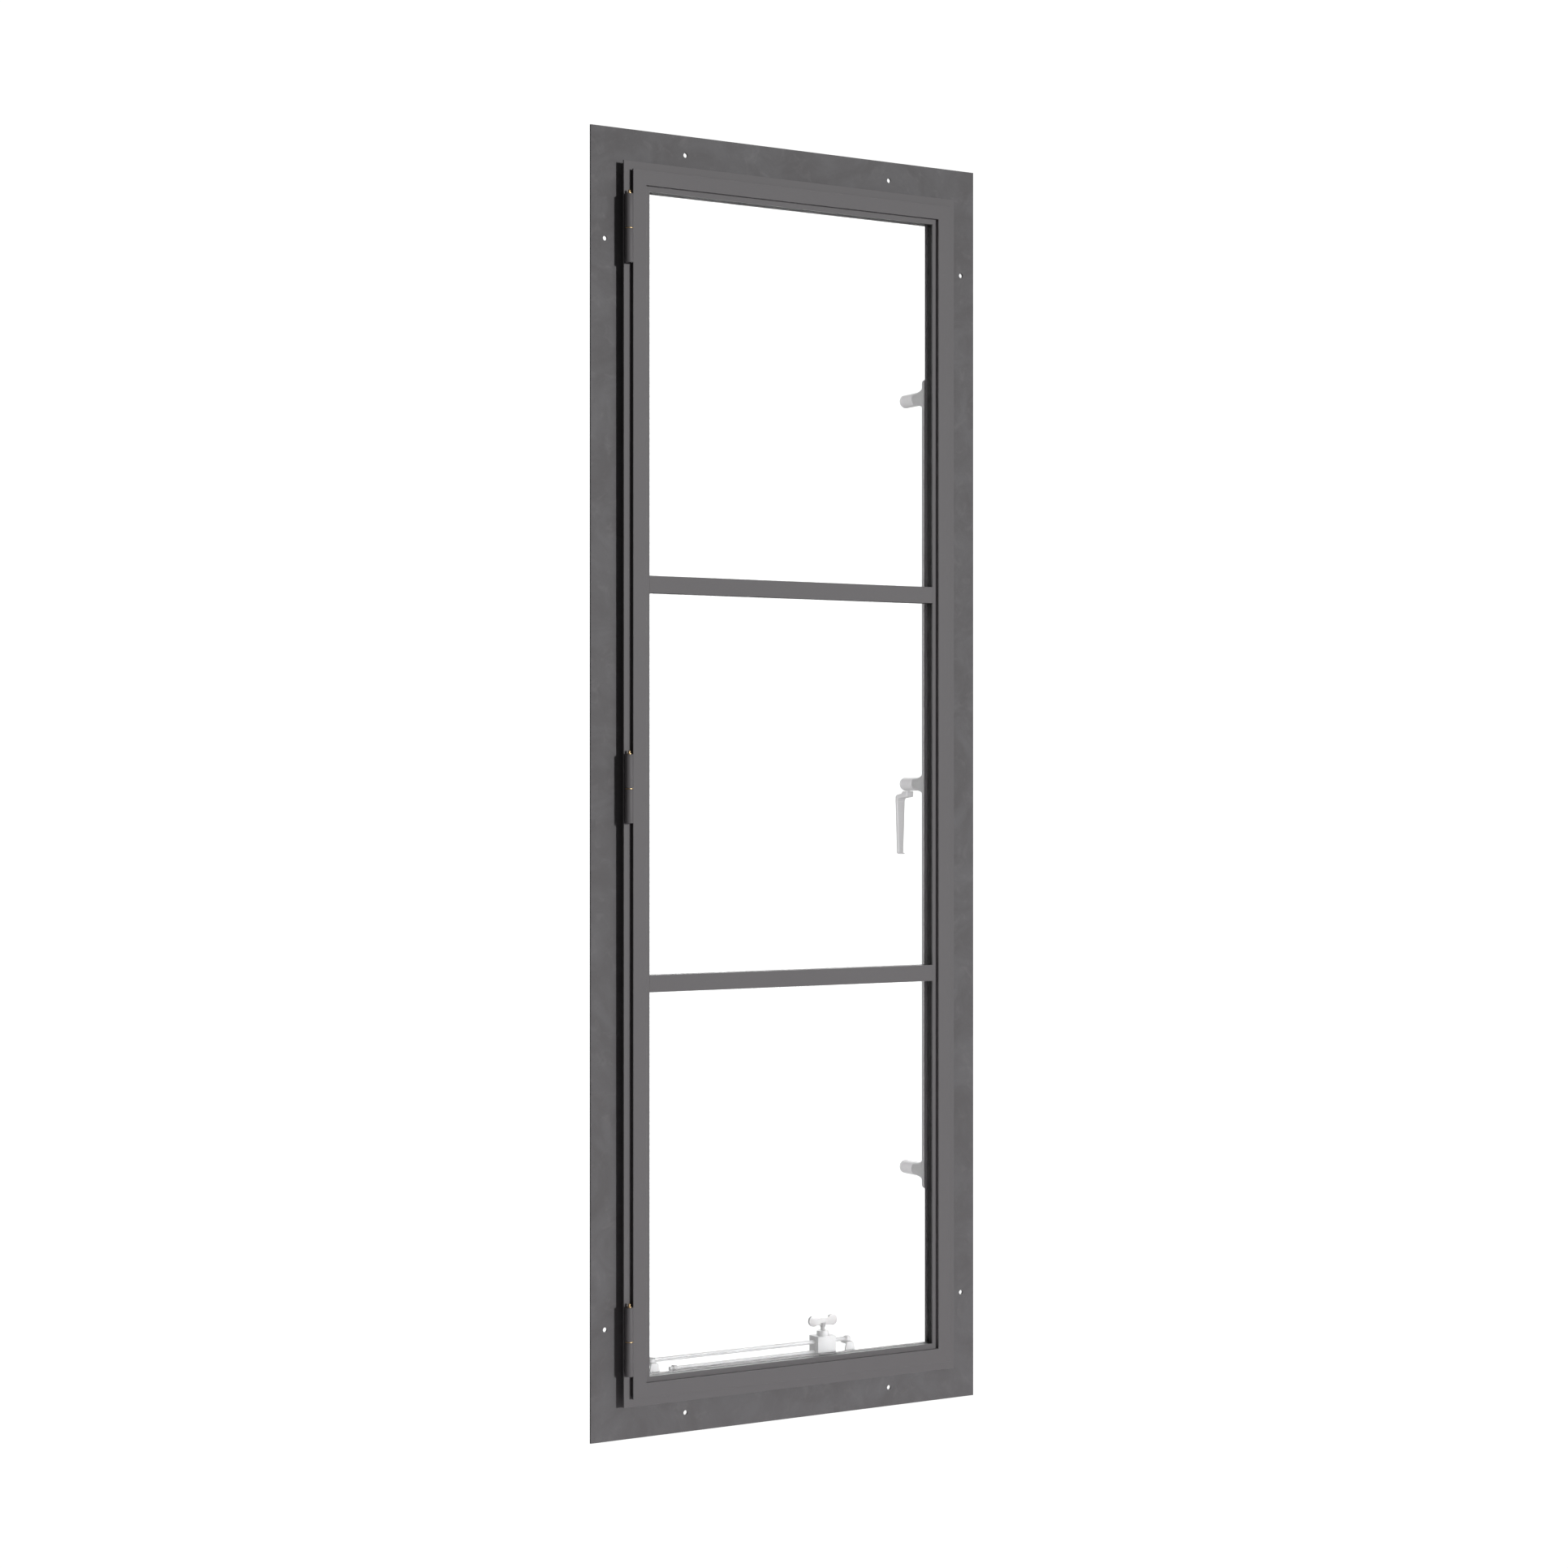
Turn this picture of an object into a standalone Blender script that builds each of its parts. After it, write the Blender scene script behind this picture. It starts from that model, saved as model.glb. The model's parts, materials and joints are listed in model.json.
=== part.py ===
"""Side-hung steel casement window that opens outwards, with its flange, hinges, lock and stay.

Frame of reference, in metres: +X to the right as seen from outside, -Y outwards, +Y into the
room, +Z up. The origin is the middle of the back face of the bottom fixing flange, which lies
against the wall.
"""
import math

import bmesh
import bpy
from mathutils import Matrix, Vector

# ---------------------------------------------------------------- driving dimensions
WIDTH = 0.680               # fixing flange, outside
HEIGHT = 1.920
FLANGE_THICKNESS = 0.003
FLANGE_BEARING = 0.0464     # width of the back face that lies on the wall
FLANGE_RELIEF = 0.0004      # depth it is relieved by, inside that, under the frame
FLANGE_MIDDLE = 0.034       # from the flange's lower edge up to the origin
GAP = 0.0003                # left between pieces that touch

# Insets from the flange's outer edge: at the sides, and the extra at head and sill.
FRAME_EXTRA = 0.0025
SASH_EXTRA = 0.003
FRAME_OUTER = 0.047
FRAME_INNER = 0.062
SHEET = 0.003               # thickness of the leaves, lips and webs of the frame
SASH_OUTER = 0.059
SASH_WEB_OUTER = 0.073
SASH_STEP = 0.081           # inner edge of the raised leaf
OPENING = 0.089             # clear edge of the glazed opening
GLASS_EDGE = 0.083

# Depths along Y.
FRAME_FACE = -0.0175
FRAME_BACK = 0.005
SASH_FACE = -0.0245
LIP_FACE = -0.0195
SASH_BACK = 0.004
GLASS_FRONT = -0.0078
GLASS_THICKNESS = 0.006

BAR_WIDTH = 0.025
BAR_WEB = 0.006
BAR_OFFSET = 0.293          # glazing bars above and below the middle
GLASS_PLAY = 0.002

FIXING_HOLE = 0.0035        # radius
HOLE_END_X = 0.181          # head and sill holes, from the middle
HOLE_END_INSET = 0.0285
HOLE_SIDE_Z = 0.7963        # side holes, from the middle
HOLE_SIDE_INSET = 0.0237

HINGE_INSET = 0.0526        # hinge axis from the flange's left edge
HINGE_Y = -0.0239
HINGE_HEIGHTS = (0.8105, -0.0070, -0.8135)
KNUCKLE_RADIUS = 0.0060
KNUCKLE_LENGTH = 0.0495
KNUCKLE_BORE = 0.0027
PIN_RADIUS = 0.0023
PIN_LOW = 0.004              # pin, from the lower knuckle's foot
PIN_SHORT = 0.010           # and how far it ends below the upper knuckle's top
WASHER_THICKNESS = 0.0010

LOCK_INSET = 0.082          # middle of the lock strip from the flange's right edge
STRIP_WIDTH = 0.014
STRIP_HALF = 0.631
STRIP_DEPTH = 0.0083
STRIP_WALL = 0.0012
BOSS_HEIGHTS = (0.6025, 0.0, -0.6025)
BOSS_LABELS = ("upper", "middle", "lower")
HUB_RADIUS = 0.0105
BASE_LENGTH = 0.0244
BASE_FLARE = 0.0105         # how far a base reaches past its hub, up and down the strip
BASE_SUNK = 0.0005          # how far a flared base is let into the strip it is welded to
HUB_LENGTH = 0.0334
SPINDLE_RADIUS = 0.004
TONGUE_LENGTH = 0.026
TONGUE_HALF_WIDTH = 0.0045
TONGUE_FRONT = 0.0078
TONGUE_BACK = 0.0110
TONGUE_CORNER = 0.002       # chamfer of a tongue's corners
TONGUE_SLOT = (0.0030, 0.009, -0.0290, 0.0055)   # in the strip: x and z, from the boss
CONNECTING_ROD = (-0.614, 0.609, 0.0004, 0.0024)  # z ends, then y from the strip's front
CRANK_RADIUS = 0.003        # crank pin, from the spindle's axis
CRANK_PIN = 0.0013
CRANK_PLAY = 0.0004
SCREW_HOLE = 0.0017
STRIP_SCREWS = (0.566, 0.300, -0.300, -0.566)
STRIP_SCREW_SHIFT = 0.0035  # screws of the strip, to the right of its middle
KEEPER_INSET = 0.0535
KEEPER_SIZE = (0.0125, 0.002, 0.040)
KEEPER_SCREW_STEP = 0.014

LEVER_STEM_Y = 0.0615
LEVER_STEM_RADIUS = 0.0065
LEVER_SPIGOT = 0.0035
LEVER_SPIGOT_HOLE = 0.0055  # depth of its hole in the hub
LEVER_BLADE_Y = 0.0805
LEVER_BLADE_THICKNESS = 0.0055
LEVER_WIDE = 0.0074         # half widths of the blade, at the neck and at the tip
LEVER_NARROW = 0.0047
LEVER_TOE = 0.004           # how far its foot is turned back towards the strip
LEVER_TIP_Z = -0.1107
LEVER_SHOULDER_Z = -0.0112

STAY_Y = 0.03475            # plane of the stay's rods
STAY_FRAME_X = 0.1215       # pivot on the frame, from the flange's left edge
STAY_SASH_X = 0.4662        # pivot on the sash
STAY_UPPER_Z = -0.856       # rods, from the window's middle
STAY_LOWER_Z = -0.8715
ROD_RADIUS = 0.00325
BLOCK_X = 0.4222
BLOCK_SIZE = (0.0324, 0.0255, 0.034)
STOP_X = 0.160
LOWER_ROD_START = 0.1517
STOP_LENGTH = 0.006
STOP_RADIUS = 0.0052
ROD_BEND = 0.0045           # inside the crank, to the rod's axis
EYE_RADIUS = 0.0058
EYE_HALF = 0.0028
PIVOT_PIN = 0.002
PIVOT_HEAD = 0.0046
BRACKET_SHEET = 0.003
BRACKET_UPRIGHT_Y = 0.0246
BRACKET_UPRIGHT = 0.004     # thickness of the upright
UPRIGHT_WIDE = 0.0105       # half widths of the upright, at its foot and at the pivot
UPRIGHT_NARROW = 0.0062
FOOT_HALF = 0.0145
TAB_DROP = 0.0036           # from the rods' axis down to the tab's top
TAB_REACH = 0.0072
FRAME_FOOT_Z = (-0.910, -0.883)     # frame bracket: foot's lower end, then its shelf
SASH_FOOT_Z = (-0.8700, -0.8835)    # sash bracket: foot's upper end, then its shelf
FRAME_BRACKET_SCREWS = (0.008, -0.9045)   # half spacing, and height from the middle
SASH_BRACKET_SCREWS = (0.010, -0.8775)
COLLAR_HEIGHT = 0.0073      # round collar on top of the clamp block
COLLAR_RADIUS = 0.0093
SOCKET_DEPTH = 0.0090       # how far the upper rod goes into the block
SCREW_SHAFT = 0.0033
WING_Z = -0.8240            # middle of the thumbscrew's wings, from the window's middle
WING_REACH = 0.0170
WING_RADIUS = 0.0085
WING_HALF = 0.0022

# ---------------------------------------------------------------- worked out from these
LEFT = -WIDTH / 2
RIGHT = WIDTH / 2
MIDDLE_Z = HEIGHT / 2 - FLANGE_MIDDLE
HINGE_X = LEFT + HINGE_INSET
LOCK_X = RIGHT - LOCK_INSET
STRIP_SCREW_X = LOCK_X + STRIP_SCREW_SHIFT
STRIP_FRONT = SASH_BACK + GAP
STRIP_BACK = STRIP_FRONT + STRIP_DEPTH
GLASS_BACK = GLASS_FRONT + GLASS_THICKNESS
ROUND = 16                  # sides of a small round piece


# ---------------------------------------------------------------- helpers
def clear_scene():
    for item in list(bpy.data.objects):
        bpy.data.objects.remove(item, do_unlink=True)


def make_material(name, colour, roughness, metallic, alpha=1.0):
    material = bpy.data.materials.new(name)
    material.use_nodes = True
    shader = material.node_tree.nodes["Principled BSDF"]
    shader.inputs["Base Color"].default_value = (*colour, 1.0)
    shader.inputs["Roughness"].default_value = roughness
    shader.inputs["Metallic"].default_value = metallic
    shader.inputs["Alpha"].default_value = alpha
    return material


def finish(mesh_data, name, material, smooth=False):
    """Turn a bmesh into a named object, with its faces pointing out."""
    bmesh.ops.recalc_face_normals(mesh_data, faces=mesh_data.faces)
    mesh = bpy.data.meshes.new(name)
    mesh_data.to_mesh(mesh)
    mesh_data.free()
    item = bpy.data.objects.new(name, mesh)
    bpy.context.scene.collection.objects.link(item)
    if material is not None:
        mesh.materials.append(material)
    if smooth:
        mesh.shade_smooth()
        mesh.set_sharp_from_angle(angle=math.radians(40))
    return item


def add_box(mesh_data, low, high):
    size = [b - a for a, b in zip(low, high)]
    middle = [(a + b) / 2 for a, b in zip(low, high)]
    matrix = Matrix.Translation(middle) @ Matrix.Diagonal((*size, 1.0))
    bmesh.ops.create_cube(mesh_data, size=1.0, matrix=matrix)


def axis_matrix(axis):
    """A turn that lays a Z-axis shape along X, Y or Z."""
    if axis == "X":
        return Matrix.Rotation(math.radians(90), 4, "Y")
    if axis == "Y":
        return Matrix.Rotation(math.radians(-90), 4, "X")
    return Matrix.Identity(4)


def add_cylinder(mesh_data, start, length, radius, axis, sides=ROUND):
    """A closed cylinder from start, along +axis."""
    turn = axis_matrix(axis)
    middle = Vector(start) + turn @ Vector((0, 0, length / 2))
    bmesh.ops.create_cone(mesh_data, cap_ends=True, segments=sides, radius1=radius,
                          radius2=radius, depth=length,
                          matrix=Matrix.Translation(middle) @ turn)


def add_turned(mesh_data, profile, centre, axis, sides=ROUND):
    """A turned solid: profile is (radius, height) pairs up the axis, both ends closed."""
    turn = Matrix.Translation(centre) @ axis_matrix(axis)
    rings = []
    for radius, height in profile:
        ring = []
        for index in range(sides):
            angle = 2 * math.pi * index / sides
            point = turn @ Vector((radius * math.cos(angle), radius * math.sin(angle), height))
            ring.append(mesh_data.verts.new(point))
        rings.append(ring)
    for lower, upper in zip(rings, rings[1:]):
        for index in range(sides):
            after = (index + 1) % sides
            mesh_data.faces.new((lower[index], lower[after], upper[after], upper[index]))
    mesh_data.faces.new(reversed(rings[0]))
    mesh_data.faces.new(rings[-1])


def add_prism(mesh_data, outline, start, end, axis):
    """Extrude a closed outline: (x, z) pairs along Y, (y, z) pairs along X, (x, y) along Z."""
    def place(pair, along):
        first, second = pair
        if axis == "Y":
            return (first, along, second)
        if axis == "X":
            return (along, first, second)
        return (first, second, along)

    near = [mesh_data.verts.new(place(pair, start)) for pair in outline]
    far = [mesh_data.verts.new(place(pair, end)) for pair in outline]
    count = len(outline)
    for index in range(count):
        after = (index + 1) % count
        mesh_data.faces.new((near[index], near[after], far[after], far[index]))
    mesh_data.faces.new(reversed(near))
    mesh_data.faces.new(far)


def add_strip(mesh_data, x, sections):
    """A bent strip about the plane x. Each section is its two edges, as (y, z), and a half width."""
    rings = []
    for first, second, half in sections:
        corners = ((-1, first), (1, first), (1, second), (-1, second))
        rings.append([mesh_data.verts.new((x + sign * half, y, MIDDLE_Z + z))
                      for sign, (y, z) in corners])
    for lower, upper in zip(rings, rings[1:]):
        for index in range(4):
            after = (index + 1) % 4
            mesh_data.faces.new((lower[index], lower[after], upper[after], upper[index]))
    mesh_data.faces.new(reversed(rings[0]))
    mesh_data.faces.new(rings[-1])
    bmesh.ops.triangulate(mesh_data, faces=mesh_data.faces)


def cut(target, fill_cutter):
    """Take away what fill_cutter(mesh_data) draws, as one Boolean with its own cutter."""
    mesh_data = bmesh.new()
    fill_cutter(mesh_data)
    cutter = finish(mesh_data, target.name + "_cutter", None)
    cutter.hide_render = True
    cutter.display_type = "WIRE"
    boolean = target.modifiers.new("cut", "BOOLEAN")
    boolean.operation = "DIFFERENCE"
    boolean.solver = "EXACT"
    boolean.object = cutter


def join_shapes(target, fill_other):
    """Weld a second shape to target, as one Boolean union."""
    mesh_data = bmesh.new()
    fill_other(mesh_data)
    other = finish(mesh_data, target.name + "_joined", None)
    other.hide_render = True
    other.display_type = "WIRE"
    boolean = target.modifiers.new("join", "BOOLEAN")
    boolean.operation = "UNION"
    boolean.solver = "EXACT"
    boolean.object = other


def arc(centre, radius, start, end, steps):
    """Points on an arc, angles in degrees."""
    points = []
    for index in range(steps + 1):
        angle = math.radians(start + (end - start) * index / steps)
        points.append((centre[0] + radius * math.cos(angle), centre[1] + radius * math.sin(angle)))
    return points


def on_axis(name, location):
    """An empty on a joint's axis, which the pieces that turn about it hang from."""
    empty = bpy.data.objects.new(name, None)
    empty.location = location
    bpy.context.scene.collection.objects.link(empty)
    return empty


def hang(item, empty):
    """Parent a piece to an empty without moving it."""
    item.parent = empty
    item.matrix_parent_inverse = Matrix.Translation(empty.location).inverted()


# ---------------------------------------------------------------- mitred bars
def corner(inset, extra, sign_x, sign_z, y):
    x = sign_x * (WIDTH / 2 - inset)
    z = MIDDLE_Z + sign_z * (HEIGHT / 2 - inset - extra)
    return Vector((x, y, z))


def mitred_bar(name, profile, side, material):
    """One side of a mitred surround. profile is a closed list of (inset, extra, y)."""
    ends = {
        "head": ((-1, 1), (1, 1)),
        "sill": ((-1, -1), (1, -1)),
        "left": ((-1, -1), (-1, 1)),
        "right": ((1, -1), (1, 1)),
    }[side]
    along = Vector((1, 0, 0)) if side in ("head", "sill") else Vector((0, 0, 1))
    mesh_data = bmesh.new()
    loops = []
    for (sign_x, sign_z), step in zip(ends, (1, -1)):
        shift = along * step * GAP * 0.75
        loops.append([mesh_data.verts.new(corner(inset, extra, sign_x, sign_z, y) + shift)
                      for inset, extra, y in profile])
    count = len(profile)
    for index in range(count):
        after = (index + 1) % count
        mesh_data.faces.new((loops[0][index], loops[0][after], loops[1][after], loops[1][index]))
    mesh_data.faces.new(reversed(loops[0]))
    mesh_data.faces.new(loops[1])
    return finish(mesh_data, name, material)


def mitred_ring(name, profile, material):
    """A closed surround in one piece, with the same corners as the mitred bars."""
    mesh_data = bmesh.new()
    loops = []
    for sign_x, sign_z in ((-1, -1), (1, -1), (1, 1), (-1, 1)):
        loops.append([mesh_data.verts.new(corner(inset, extra, sign_x, sign_z, y))
                      for inset, extra, y in profile])
    count = len(profile)
    for first, second in zip(loops, loops[1:] + loops[:1]):
        for index in range(count):
            after = (index + 1) % count
            mesh_data.faces.new((first[index], first[after], second[after], second[index]))
    return finish(mesh_data, name, material)


def flange_profile():
    """Flat plate, relieved at the back where the frame's leg passes behind it."""
    inner = FRAME_INNER - SHEET - GAP
    extra = FRAME_EXTRA * FLANGE_BEARING / inner
    return [
        (0.0, 0.0, 0.0),
        (FLANGE_BEARING, extra, 0.0),
        (FLANGE_BEARING, extra, -FLANGE_RELIEF),
        (inner, FRAME_EXTRA, -FLANGE_RELIEF),
        (inner, FRAME_EXTRA, -FLANGE_THICKNESS),
        (0.0, 0.0, -FLANGE_THICKNESS),
    ]


def frame_profile():
    """Thin outer leaf, web, and a back leg turned towards the wall."""
    web = FRAME_INNER - SHEET
    points = [
        (FRAME_OUTER, FRAME_FACE),
        (FRAME_INNER, FRAME_FACE),
        (FRAME_INNER, FRAME_BACK),
        (FRAME_OUTER, FRAME_BACK),
        (FRAME_OUTER, FRAME_BACK - SHEET),
        (web, FRAME_BACK - SHEET),
        (web, FRAME_FACE + SHEET),
        (FRAME_OUTER, FRAME_FACE + SHEET),
    ]
    return [(inset, FRAME_EXTRA, y) for inset, y in points]


def weatherstrip_profile():
    outer = SASH_OUTER + GAP
    inner = FRAME_INNER - GAP
    front = SASH_FACE + SHEET + GAP
    back = FRAME_FACE - GAP
    points = [(outer, front), (inner, front), (inner, back), (outer, back)]
    return [(inset, FRAME_EXTRA, y) for inset, y in points]


def sash_profile():
    """Raised outer leaf, solid web, and the stepped inner lip that the glass lies behind."""
    points = [
        (SASH_OUTER, SASH_FACE),
        (SASH_STEP, SASH_FACE),
        (SASH_STEP, LIP_FACE),
        (OPENING, LIP_FACE),
        (OPENING, LIP_FACE + SHEET),
        (SASH_STEP, LIP_FACE + SHEET),
        (SASH_STEP, SASH_BACK),
        (SASH_WEB_OUTER, SASH_BACK),
        (SASH_WEB_OUTER, SASH_FACE + SHEET),
        (SASH_OUTER, SASH_FACE + SHEET),
    ]
    return [(inset, SASH_EXTRA, y) for inset, y in points]


# ---------------------------------------------------------------- the fixed frame
def build_flange(steel):
    for side, label in (("head", "head"), ("sill", "sill"), ("left", "hinge_side"),
                        ("right", "lock_side")):
        bar = mitred_bar("flange_" + label, flange_profile(), side, steel)

        def fixing_holes(mesh_data, side=side):
            for sign in (-1, 1):
                if side in ("head", "sill"):
                    x = sign * HOLE_END_X
                    reach = HEIGHT / 2 - HOLE_END_INSET
                    z = MIDDLE_Z + (reach if side == "head" else -reach)
                else:
                    reach = WIDTH / 2 - HOLE_SIDE_INSET
                    x = -reach if side == "left" else reach
                    z = MIDDLE_Z + sign * HOLE_SIDE_Z
                add_cylinder(mesh_data, (x, -0.006, z), 0.009, FIXING_HOLE, "Y")

        cut(bar, fixing_holes)


def build_frame(paint, rubber):
    sides = (("head", "head"), ("sill", "sill"), ("left", "jamb_hinge"), ("right", "jamb_lock"))
    bars = {}
    for side, label in sides:
        bars[side] = mitred_bar("frame_" + label, frame_profile(), side, paint)
    mitred_ring("weatherstrip", weatherstrip_profile(), rubber)
    keeper_x = RIGHT - KEEPER_INSET

    def keeper_taps(mesh_data):
        for height in BOSS_HEIGHTS:
            for step in (-KEEPER_SCREW_STEP, KEEPER_SCREW_STEP):
                add_cylinder(mesh_data, (keeper_x, FRAME_BACK - SHEET - 0.001, MIDDLE_Z + height + step),
                             SHEET + 0.002, SCREW_HOLE, "Y", 8)

    def bracket_taps(mesh_data):
        for x, z in stay_frame_screws():
            add_cylinder(mesh_data, (x, FRAME_BACK - SHEET - 0.001, z), SHEET + 0.002,
                         SCREW_HOLE, "Y", 8)

    cut(bars["right"], keeper_taps)
    cut(bars["sill"], bracket_taps)


# ---------------------------------------------------------------- the sash
def pane_edges():
    """For each pane: its name, and the z of its lower and upper limits, bar or rail."""
    top = HEIGHT / 2 - OPENING - SASH_EXTRA
    half = BAR_WIDTH / 2
    return (
        ("upper", BAR_OFFSET + half, top),
        ("middle", -BAR_OFFSET + half, BAR_OFFSET - half),
        ("lower", -top, -BAR_OFFSET - half),
    )


def pane_rebate(low, high):
    """How far the rebate reaches past the pane's clear lower and upper edges."""
    rail = OPENING - SASH_STEP
    bar = (BAR_WIDTH - BAR_WEB) / 2
    end = HEIGHT / 2 - OPENING - SASH_EXTRA
    below = rail if abs(low + end) < 1e-6 else bar
    above = rail if abs(high - end) < 1e-6 else bar
    return below, above


def build_sash_bars(paint, hinge_empty):
    for side, label in (("head", "top_rail"), ("sill", "bottom_rail"), ("left", "hinge_stile"),
                        ("right", "lock_stile")):
        bar = mitred_bar("sash_" + label, sash_profile(), side, paint)
        hang(bar, hinge_empty)
        if side == "right":
            def strip_taps(mesh_data):
                for z in STRIP_SCREWS:
                    add_cylinder(mesh_data, (STRIP_SCREW_X, SASH_BACK - 0.008, MIDDLE_Z + z), 0.010,
                                 SCREW_HOLE, "Y", 8)
            cut(bar, strip_taps)
        if side == "sill":
            def bracket_taps(mesh_data):
                for x, z in stay_sash_screws():
                    add_cylinder(mesh_data, (x, SASH_BACK - 0.008, z), 0.010, SCREW_HOLE, "Y", 8)
            cut(bar, bracket_taps)
    for name, offset in (("glazing_bar_upper", BAR_OFFSET), ("glazing_bar_lower", -BAR_OFFSET)):
        z = MIDDLE_Z + offset
        lip = LIP_FACE + SHEET
        half = BAR_WIDTH / 2
        web = BAR_WEB / 2
        outline = [(LIP_FACE, z - half), (lip, z - half), (lip, z - web), (SASH_BACK, z - web),
                   (SASH_BACK, z + web), (lip, z + web), (lip, z + half), (LIP_FACE, z + half)]
        reach = WIDTH / 2 - OPENING - GAP
        mesh_data = bmesh.new()
        add_prism(mesh_data, outline, -reach, reach, "X")
        hang(finish(mesh_data, name, paint), hinge_empty)


def add_ring(mesh_data, outer, inner, front, back):
    """A rectangular ring between two (x0, z0, x1, z1) outlines."""
    def loop(box, y):
        x0, z0, x1, z1 = box
        return [mesh_data.verts.new((x, y, z)) for x, z in ((x0, z0), (x1, z0), (x1, z1), (x0, z1))]

    loops = [loop(outer, front), loop(outer, back), loop(inner, back), loop(inner, front)]
    for first, second in zip(loops, loops[1:] + loops[:1]):
        for index in range(4):
            after = (index + 1) % 4
            mesh_data.faces.new((first[index], first[after], second[after], second[index]))


def build_glazing(glass, rubber, paint, hinge_empty):
    clear_x = WIDTH / 2 - OPENING
    rebate_x = WIDTH / 2 - SASH_STEP - GAP
    glass_x = WIDTH / 2 - GLASS_EDGE
    for name, low, high in pane_edges():
        below, above = pane_rebate(low, high)
        low_z = MIDDLE_Z + low
        high_z = MIDDLE_Z + high
        mesh_data = bmesh.new()
        add_box(mesh_data, (-glass_x, GLASS_FRONT, low_z - below + GLASS_PLAY),
                (glass_x, GLASS_BACK, high_z + above - GLASS_PLAY))
        hang(finish(mesh_data, "glass_" + name, glass), hinge_empty)

        mesh_data = bmesh.new()
        outer = (-rebate_x, low_z - below + GAP, rebate_x, high_z + above - GAP)
        inner = (-clear_x + GAP, low_z + GAP, clear_x - GAP, high_z - GAP)
        add_ring(mesh_data, outer, inner, LIP_FACE + SHEET + GAP, GLASS_FRONT - GAP)
        hang(finish(mesh_data, "glazing_gasket_" + name, rubber), hinge_empty)

        mesh_data = bmesh.new()
        inner = (-clear_x, low_z, clear_x, high_z)
        add_ring(mesh_data, outer, inner, GLASS_BACK + GAP, SASH_BACK)
        hang(finish(mesh_data, "glazing_bead_" + name, paint), hinge_empty)


# ---------------------------------------------------------------- hinges
def build_hinges(paint, steel, brass, hinge_empty):
    for label, height in zip(("top", "middle", "bottom"), HINGE_HEIGHTS):
        z = MIDDLE_Z + height
        half_washer = WASHER_THICKNESS / 2
        lower_start = z - half_washer - GAP - KNUCKLE_LENGTH
        upper_start = z + half_washer + GAP
        for part, start in (("frame", lower_start), ("sash", upper_start)):
            mesh_data = bmesh.new()
            add_cylinder(mesh_data, (HINGE_X, HINGE_Y, start), KNUCKLE_LENGTH, KNUCKLE_RADIUS, "Z")
            knuckle = finish(mesh_data, "hinge_%s_knuckle_%s" % (label, part), paint, smooth=True)

            def bore(mesh_data, start=start):
                add_cylinder(mesh_data, (HINGE_X, HINGE_Y, start - 0.001), KNUCKLE_LENGTH + 0.002,
                             KNUCKLE_BORE, "Z")

            cut(knuckle, bore)
            if part == "sash":
                hang(knuckle, hinge_empty)
        top = upper_start + KNUCKLE_LENGTH
        pin_start = lower_start + PIN_LOW
        mesh_data = bmesh.new()
        add_cylinder(mesh_data, (HINGE_X, HINGE_Y, pin_start), top - PIN_SHORT - pin_start, PIN_RADIUS,
                     "Z", 12)
        finish(mesh_data, "hinge_%s_pin" % label, steel, smooth=True)

        mesh_data = bmesh.new()
        add_cylinder(mesh_data, (HINGE_X, HINGE_Y, z - half_washer), WASHER_THICKNESS,
                     KNUCKLE_RADIUS, "Z")
        washer = finish(mesh_data, "hinge_%s_washer" % label, brass, smooth=True)

        def washer_bore(mesh_data, z=z):
            add_cylinder(mesh_data, (HINGE_X, HINGE_Y, z - 0.002), 0.004, KNUCKLE_BORE, "Z")

        cut(washer, washer_bore)

        mesh_data = bmesh.new()
        shape = [(0.0020, -0.005), (0.0020, GAP), (0.0034, GAP), (0.0034, 0.0014), (0.0017, 0.0019),
                 (0.0017, 0.0030), (0.0021, 0.0038), (0.0019, 0.0052), (0.0009, 0.0060)]
        add_turned(mesh_data, shape, (HINGE_X, HINGE_Y, top), "Z", 12)
        nipple = finish(mesh_data, "hinge_%s_grease_nipple" % label, brass, smooth=True)
        hang(nipple, hinge_empty)


# ---------------------------------------------------------------- the three-point lock
def stadium(half_width, half_height, steps=6):
    """Outline of a long strip with round ends, as (x, z) pairs about the strip's middle."""
    straight = half_height - half_width
    top = arc((0, straight), half_width, 0, 180, steps)
    bottom = arc((0, -straight), half_width, 180, 360, steps)
    return [(LOCK_X + x, MIDDLE_Z + z) for x, z in top + bottom]


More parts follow.
